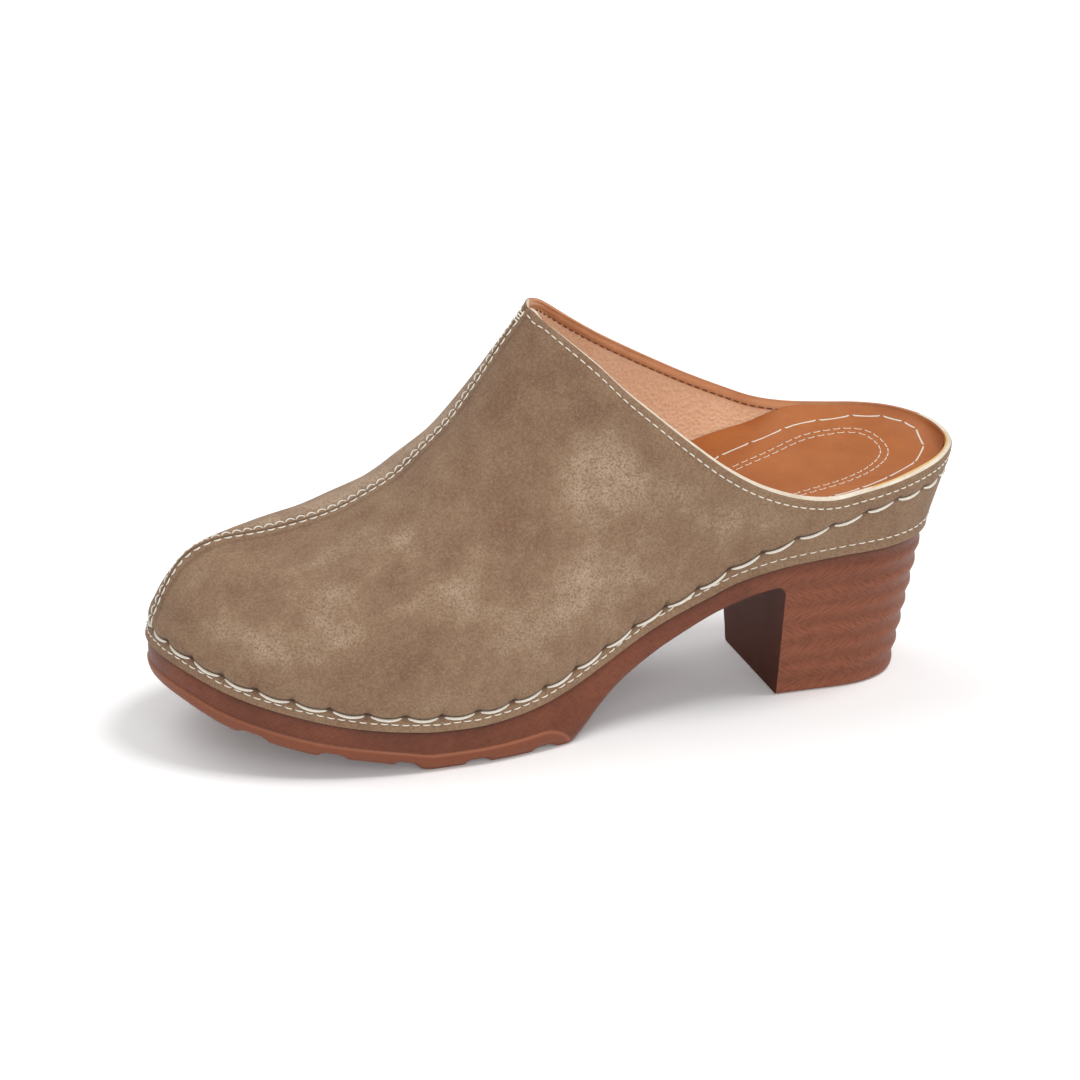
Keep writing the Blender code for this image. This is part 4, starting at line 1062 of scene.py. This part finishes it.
class Paint:
    """A material's nodes, added and linked by short calls."""

    def __init__(self, name, roughness, **settings):
        self.material = bpy.data.materials.new(name)
        self.material.use_nodes = True
        self.tree = self.material.node_tree
        self.shader = self.tree.nodes["Principled BSDF"]
        self.shader.inputs["Roughness"].default_value = roughness
        for key, value in settings.items():
            self.shader.inputs[key.replace("_", " ")].default_value = value
        self.place = self.add("ShaderNodeTexCoord").outputs["Object"]

    def give(self, socket, value):
        """Sets a socket to a number, a vector or a colour, or links it to another node's output."""
        if isinstance(value, (int, float)):
            socket.default_value = value
        elif isinstance(value, tuple):
            socket.default_value = value if socket.type == "VECTOR" else (*value, 1.0)
        else:
            self.tree.links.new(value, socket)

    def add(self, kind, sockets=None, **values):
        """A node with its settings, and with its inputs by name or number."""
        node = self.tree.nodes.new(kind)
        for key, value in values.items():
            setattr(node, key, value)
        for key, value in (sockets or {}).items():
            self.give(node.inputs[key], value)
        return node

    def stretched(self, scale, turn, vector):
        """Coordinates turned about Z and then scaled."""
        turned = self.add("ShaderNodeMapping", {"Rotation": (0.0, 0.0, math.radians(turn)), "Vector": vector})
        return self.add("ShaderNodeMapping", {"Scale": scale, "Vector": turned.outputs[0]}).outputs[0]

    def joined(self, first, second):
        """Coordinates made of two numbers."""
        return self.add("ShaderNodeCombineXYZ", {0: first, 1: second}).outputs[0]

    def noise(self, scale, detail=3.0, rough=0.55, vector=None):
        sockets = {"Scale": scale, "Detail": detail, "Roughness": rough,
                   "Vector": self.place if vector is None else vector}
        return self.add("ShaderNodeTexNoise", sockets).outputs["Fac"]

    def cells(self, scale):
        return self.add("ShaderNodeTexVoronoi", {"Scale": scale, "Vector": self.place}).outputs["Distance"]

    def span(self, value, low, high, out_low=0.0, out_high=1.0):
        """A value's range moved to another, kept within it."""
        sockets = dict(enumerate((value, low, high, out_low, out_high)))
        return self.add("ShaderNodeMapRange", sockets).outputs[0]

    def maths(self, operation, first, second):
        return self.add("ShaderNodeMath", {0: first, 1: second}, operation=operation).outputs[0]

    def times(self, first, second):
        return self.maths("MULTIPLY", first, second)

    def mix(self, factor, first, second):
        """Mixes two colours, each a colour or another node's output."""
        node = self.add("ShaderNodeMix", data_type="RGBA")
        for socket, value in zip([s for s in node.inputs if s.enabled], (factor, first, second)):
            self.give(socket, value)
        return next(s for s in node.outputs if s.enabled)

    def number(self, name):
        """A number that the vertices hold."""
        return self.add("ShaderNodeAttribute", attribute_name=name).outputs["Fac"]

    def colour(self, value):
        self.give(self.shader.inputs["Base Color"], value)

    def bump(self, height, distance, strength=1.0, after=None):
        """Relief by a node's output, on top of that of an earlier bump."""
        sockets = {"Strength": strength, "Distance": distance, "Height": height}
        if after is not None:
            sockets["Normal"] = after
        normal = self.add("ShaderNodeBump", sockets).outputs["Normal"]
        self.give(self.shader.inputs["Normal"], normal)
        return normal


def nubuck():
    """Taupe nubuck: cloudy lighter patches of brushed nap and a painted highlight on the medial top strip,
    fine speckle, smoother near the edges, painted shade along the channel, stitch holes and seam.
    """
    p = Paint("taupe_nubuck", 0.85, Sheen_Weight=0.05, Sheen_Roughness=0.5, Specular_IOR_Level=0.2)
    wisps = p.times(p.maths("SUBTRACT", p.noise(80.0, 7.0, 0.68), 0.5), 3.6)
    # The clouds' number holds the mottling of the nap and a painted highlight on the medial side's top strip.
    place = p.times(p.number("cloud"), p.span(p.number("open"), 0.0, 1.0, 0.3, 1.0))
    cloud = p.maths("ADD", p.times(place, 0.82), wisps)
    grain = p.noise(1500.0, 2.0, 0.7)
    nap = p.noise(500.0, 3.0, 0.7)
    base = p.mix(p.span(cloud, -0.75, 0.15), (0.185, 0.102, 0.061), (0.245, 0.152, 0.091))
    light = p.mix(p.span(grain, 0.34, 0.64), (0.270, 0.175, 0.110), (0.460, 0.335, 0.235))
    inside = p.times(p.span(cloud, 0.15, 1.15), p.span(p.number("open"), 0.0, 1.0, 0.15, 1.0))
    colour = p.mix(inside, base, light)
    pitted = p.mix(p.span(grain, 0.50, 0.30, 0.0, 0.34), colour, (0.130, 0.072, 0.044))
    speck = p.mix(p.span(grain, 0.46, 0.70, 0.0, 0.38), pitted, (0.36, 0.25, 0.165))
    # Painted shade along the channel, at the stitch holes and beside the seam.
    p.colour(p.mix(p.times(p.number("shade"), 0.85), speck, (0.030, 0.018, 0.012)))
    fine = p.bump(grain, 0.00022, 0.7)
    p.bump(nap, 0.0004, 0.35, fine)
    return p.material


def plain_leather(name, dark, light, scale, depth, roughness, **settings):
    """Smooth or pebbled leather with soft changes of colour."""
    p = Paint(name, roughness, **settings)
    tone = p.noise(60.0, 4.0, 0.6)
    colour = p.mix(p.span(tone, 0.35, 0.68), dark, light)
    pebble = p.cells(scale)
    p.colour(p.mix(p.span(pebble, 0.0, 0.75, 0.16, 0.0), colour, tuple(0.45 * c for c in dark)))
    first = p.bump(pebble, depth, 0.8)
    p.bump(p.noise(scale * 1.7, 2.0), depth * 0.6, 0.5, first)
    return p.material


def rubber(name, dark, light, band, grained):
    """Moulded rubber: fine slanted strokes on the upper band and the heel, a smoother lower band,
    a painted highlight line at its step, painted shade in the rib grooves and a painted shadow under the
    rand.
    """
    p = Paint(name, 0.50, Specular_IOR_Level=0.25 if grained else 0.05)
    flat = p.joined(p.number("along"), p.number("height"))
    one = p.noise(1.0, 1.0, 0.5, p.stretched((300.0, 2300.0, 1.0), 36.0, flat))
    two = p.noise(1.0, 1.0, 0.5, p.stretched((300.0, 2300.0, 1.0), -36.0, flat))
    hatch = p.mix(p.span(p.number("row"), 0.42, 0.58), one, two)
    tone = p.noise(45.0, 4.0, 0.6)
    body = p.mix(p.span(tone, 0.35, 0.65), dark, light)
    if grained:
        body = p.mix(p.times(p.number("heel"), 0.8), body, (0.285, 0.090, 0.044))
    stroke = p.span(hatch, 0.56, 0.36, 0.0, 0.42 if grained else 0.0)
    lined = p.mix(stroke, body, tuple(0.42 * c for c in dark))
    low = p.span(p.number("band"), 0.56, 0.60)
    # A painted highlight line along the step at the top of the lower band.
    line = p.times(p.span(p.number("band"), 0.56, 0.59), p.span(p.number("band"), 0.66, 0.60))
    lower = p.mix(p.times(low, 0.65), lined, band)
    step_highlighted = p.mix(p.times(line, 0.30), lower, (0.48, 0.20, 0.11))
    # Painted shade in the grooves between the heel's ribs.
    groove_shaded = p.mix(p.times(p.number("groove"), 0.22), step_highlighted, tuple(0.35 * c for c in dark))
    # Painted shadow under the rand's overhang, along the sole's top edge.
    p.colour(p.mix(p.times(p.number("rand_shadow"), 0.85), groove_shaded, (0.020, 0.008, 0.006)))
    if grained:
        p.bump(hatch, 0.00030, 0.5)
    return p.material


def thread_material(name, colour, twist):
    p = Paint(name, 0.7, Specular_IOR_Level=0.3)
    fibre = p.noise(twist, 2.0, 0.6)
    p.colour(p.mix(p.span(fibre, 0.3, 0.7), tuple(0.80 * c for c in colour), colour))
    p.bump(fibre, 0.00012, 0.6)
    return p.material


# The photograph's camera, in degrees and metres, in the frame of the tables above
CAMERA_TURN = 17.5
CAMERA_RISE = 21.1
CAMERA_DISTANCE = 1.3
CAMERA_TARGET = (0.1331, 0.0220, 0.0577)
CAMERA_LENS = 149.9


def add_camera(shift):
    """The photograph's camera, which looks at the target from above the shoe's outer side."""
    turn, rise = math.radians(CAMERA_TURN), math.radians(CAMERA_RISE)
    back = Vector((math.sin(turn) * math.cos(rise), math.cos(turn) * math.cos(rise), math.sin(rise)))
    right = Vector((-math.cos(turn), math.sin(turn), 0.0))
    up = back.cross(right)
    data = bpy.data.cameras.new("photo_camera")
    data.lens = CAMERA_LENS
    data.sensor_width = 36.0
    camera = bpy.data.objects.new("photo_camera", data)
    camera.matrix_world = Matrix([[right[k], up[k], back[k]] for k in range(3)]).to_4x4()
    camera.location = Vector(CAMERA_TARGET) + Vector(shift) + CAMERA_DISTANCE * back
    bpy.context.scene.collection.objects.link(camera)
    bpy.context.scene.camera = camera


def add_sun(name, direction, strength, spread):
    """Distant light from a direction, with soft shadows by its spread in degrees."""
    data = bpy.data.lights.new(name, "SUN")
    data.energy = strength
    data.angle = math.radians(spread)
    light = bpy.data.objects.new(name, data)
    light.rotation_euler = Vector(direction).to_track_quat("Z", "Y").to_euler()
    bpy.context.scene.collection.objects.link(light)


def add_studio():
    world = bpy.data.worlds.new("studio")
    world.use_nodes = True
    background = world.node_tree.nodes["Background"]
    background.inputs["Color"].default_value = (1.0, 1.0, 1.0, 1.0)
    background.inputs["Strength"].default_value = 0.42
    bpy.context.scene.world = world
    bpy.context.scene.view_settings.view_transform = "Standard"
    add_sun("key", (-0.36, 0.16, 0.92), 1.5, 22.0)
    add_sun("rim", (0.35, -0.45, 0.82), 0.85, 50.0)
    add_sun("front", (0.10, 0.90, 0.42), 1.0, 45.0)
    bpy.ops.mesh.primitive_plane_add(size=12.0, location=(0.0, 0.0, -0.0002))
    floor = bpy.context.object
    floor.name = "floor"
    paint = Paint("pale_floor", 0.9, Emission_Color=(1.0, 1.0, 1.0, 1.0), Emission_Strength=0.10)
    paint.colour((0.93, 0.93, 0.93))
    floor.data.materials.append(paint.material)


def snapped(tree, points):
    """Nearest points of the outer face and their normals."""
    found = [tree.find_nearest(Vector(point)) for point in points]
    return np.array([hit[0] for hit in found]), np.array([hit[1] for hit in found])


def collar_row(skin, tree, shift):
    """Line under the collar's edge, at an even distance from it."""
    edge = skin.outer[PEAK_RIB:, -1]
    down = unit(np.cross(unit(np.gradient(edge, axis=0)), skin.normals[PEAK_RIB:, -1]))
    down *= -np.sign(down[:, 2:3])
    return snapped(tree, (edge + COLLAR_ROW * down + shift)[1:])


def tack_bars(tree, shift):
    """Short bars across the seam just under the peak."""
    paths = []
    for x, _, z in resample(seam_path(), (0.968, 0.974, 0.980, 0.986)) + shift:
        across = shift[1] + SEAM_ROW * np.linspace(-1.0, 1.0, THREAD_ENDS)
        points, normals = snapped(tree, [(x, y, z) for y in across])
        paths.append((points + 0.0002 * normals, normals, np.full(THREAD_ENDS, FINE_RADIUS * 1.2)))
    return paths


def seam_row(skin, tree, shift):
    """Line beside the centre seam, from the toe's channel to the peak."""
    toe = resample(seam_path(), np.linspace(0.03, 0.20, 45)) + shift
    toe[:, 1] = shift[1] + skin.side * SEAM_ROW
    points, normals = [list(rows) for rows in snapped(tree, toe)]
    for i in range(8, PEAK_RIB + 1):
        row = float(np.interp(SEAM_ROW, np.abs(skin.outer[i, :, 1])[::-1], skin.rows[i][::-1]))
        points.append(read_rows(row, skin.rows[i], skin.outer[i]) + shift)
        normals.append(unit(read_rows(row, skin.rows[i], skin.normals[i])))
    return np.array(points), np.array(normals)


def build_insole(skins, shift, material, thread):
    """Padded footbed with its long saddle stitches and the double row round the heel pad."""
    shape = insole_surface(skins, shift)
    thing = make_piece("insole_leather", shape.vertices, shape.faces, [material], 40.0)
    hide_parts("insole")
    tree = BVHTree.FromPolygons(shape.vertices, shape.faces)
    rows = []
    for offset in (0.0, -PAD_GAP):
        points, normals = drop_on(tree, offset_plan(plan_path(BED_PAD), offset), shift)
        rows += running_stitches(points, normals, PAD_PITCH, FINE_LENGTH, PAD_RADIUS)
    thread_mesh("pad_stitches", rows, thread, 6)
    long_ones = []
    for start, end in zip(BED_HOLES, BED_HOLES[1:]):
        start, end = np.array([*start, 0.0]), np.array([*end, 0.0])
        inset = 0.0006 * unit(end - start)
        shares = np.linspace(0.0, 1.0, 15)[:, None]
        points, normals = drop_on(tree, (start + inset) * (1.0 - shares) + (end - inset) * shares, shift)
        arch = np.sin(np.pi * shares) ** 0.3
        long_ones.append((points + normals * BED_THREAD * (1.2 * arch - 0.5), normals,
                          BED_THREAD * (0.6 + 0.4 * arch[:, 0])))
    thread_mesh("insole_stitches", long_ones, thread, 7)
    return thing


def facing_row(skin, shift):
    """Line on the facing band, with the normals that point into the shoe."""
    shares = np.linspace(PEAK_SHARE + 0.004, 0.999, 500)
    totals = np.interp(shares, skin.shares, skin.total)
    slants = np.interp(shares, skin.shares, skin.slant)
    normals = skin_line(skin, shares, totals - 0.001, skin.normals)
    points = skin_line(skin, shares, totals - (FACING_WIDTH - 0.0005) / slants, skin.points)
    return points - normals * (WALL + FACING_RISE) + shift, -normals


def rand_row(skin, shift):
    """Line along the band under the channel."""
    shares = np.linspace(0.001, 0.999, 500)
    rows = 0.0022 + 0.0013 * np.clip((shares - 0.55) / 0.45, 0.0, 1.0)
    return skin_line(skin, shares, rows, skin.outer) + shift, skin_line(skin, shares, rows, skin.normals)


def add_stitches(skins, shift, white, brown):
    """Threads of the upper: saddle stitches, fine rows, seam, bars at its top and the facing's row."""
    surface = bpy.data.objects["upper_leather"].data
    tree = BVHTree.FromPolygons([tuple(v.co) for v in surface.vertices],
                                [tuple(f.vertices) for f in surface.polygons if f.material_index == NUBUCK])
    saddle, fine, inside = [], [], []
    for side in SIDES:
        skin = skins[side]
        saddle += saddle_stitches(skin, shift)
        fine += running_stitches(*rand_row(skin, shift), FINE_PITCH, FINE_LENGTH, FINE_RADIUS)
        fine += running_stitches(*collar_row(skin, tree, shift), COLLAR_PITCH, COLLAR_LENGTH, FINE_RADIUS)
        inside += running_stitches(*facing_row(skin, shift), COLLAR_PITCH, COLLAR_LENGTH, 0.00020)
    for side in SIDES:
        fine += running_stitches(*seam_row(skins[side], tree, shift), 0.0032, 0.0028, FINE_RADIUS * 1.15,
                                 bow=0.0010, centre=shift[1])
    fine += tack_bars(tree, shift)
    thread_mesh("saddle_stitches", saddle, white, 9)
    thread_mesh("fine_stitches", fine, white, 6)
    thread_mesh("facing_stitches", inside, brown, 5)


def main():
    skins = {side: Skin(side) for side in SIDES}
    join_sides(skins)
    for side in SIDES:
        dress(skins[side])
    low, high = (np.array(corner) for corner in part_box("upper"))
    every = np.concatenate([skins[side].outer.reshape(-1, 3) for side in SIDES])
    shift = 0.5 * (low + high) - 0.5 * (every.min(axis=0) + every.max(axis=0))
    shift[2] = 0.0

    white = thread_material("white_thread", (0.82, 0.76, 0.66), 3000.0)
    brown = thread_material("brown_thread", (0.13, 0.055, 0.030), 3000.0)
    cut = plain_leather("cut_edge", (0.62, 0.52, 0.40), (0.80, 0.72, 0.60), 900.0, 0.00008, 0.6)
    lining = plain_leather("peach_lining", (0.88, 0.54, 0.335), (0.95, 0.62, 0.410), 900.0, 0.00022, 0.6,
                           Specular_IOR_Level=0.25)
    facing = plain_leather("brown_facing", (0.50, 0.205, 0.090), (0.60, 0.270, 0.130), 1300.0, 0.00008, 0.5,
                           Specular_IOR_Level=0.25)
    glue = plain_leather("glue_line", (0.62, 0.38, 0.12), (0.72, 0.52, 0.25), 900.0, 0.00010, 0.45)
    tan = plain_leather("tan_insole", (0.365, 0.106, 0.024), (0.43, 0.138, 0.034), 2200.0, 0.00005, 0.45,
                        Specular_IOR_Level=0.3)
    side_rubber = rubber("brown_rubber", (0.142, 0.042, 0.021), (0.196, 0.058, 0.028),
                         (0.235, 0.070, 0.031), True)
    # Darker copy of the same rubber for the underside, breast and base: painted shade.
    under_rubber = rubber("painted_shade_rubber", (0.085, 0.022, 0.012), (0.115, 0.031, 0.016),
                          (0.10, 0.03, 0.02), False)

    build_upper(skins, shift, [nubuck(), cut, lining, facing, glue])
    build_insole(skins, shift, tan, white)
    build_sole(shift, [side_rubber, under_rubber])
    add_stitches(skins, shift, white, brown)
    add_camera(shift)
    add_studio()


main()
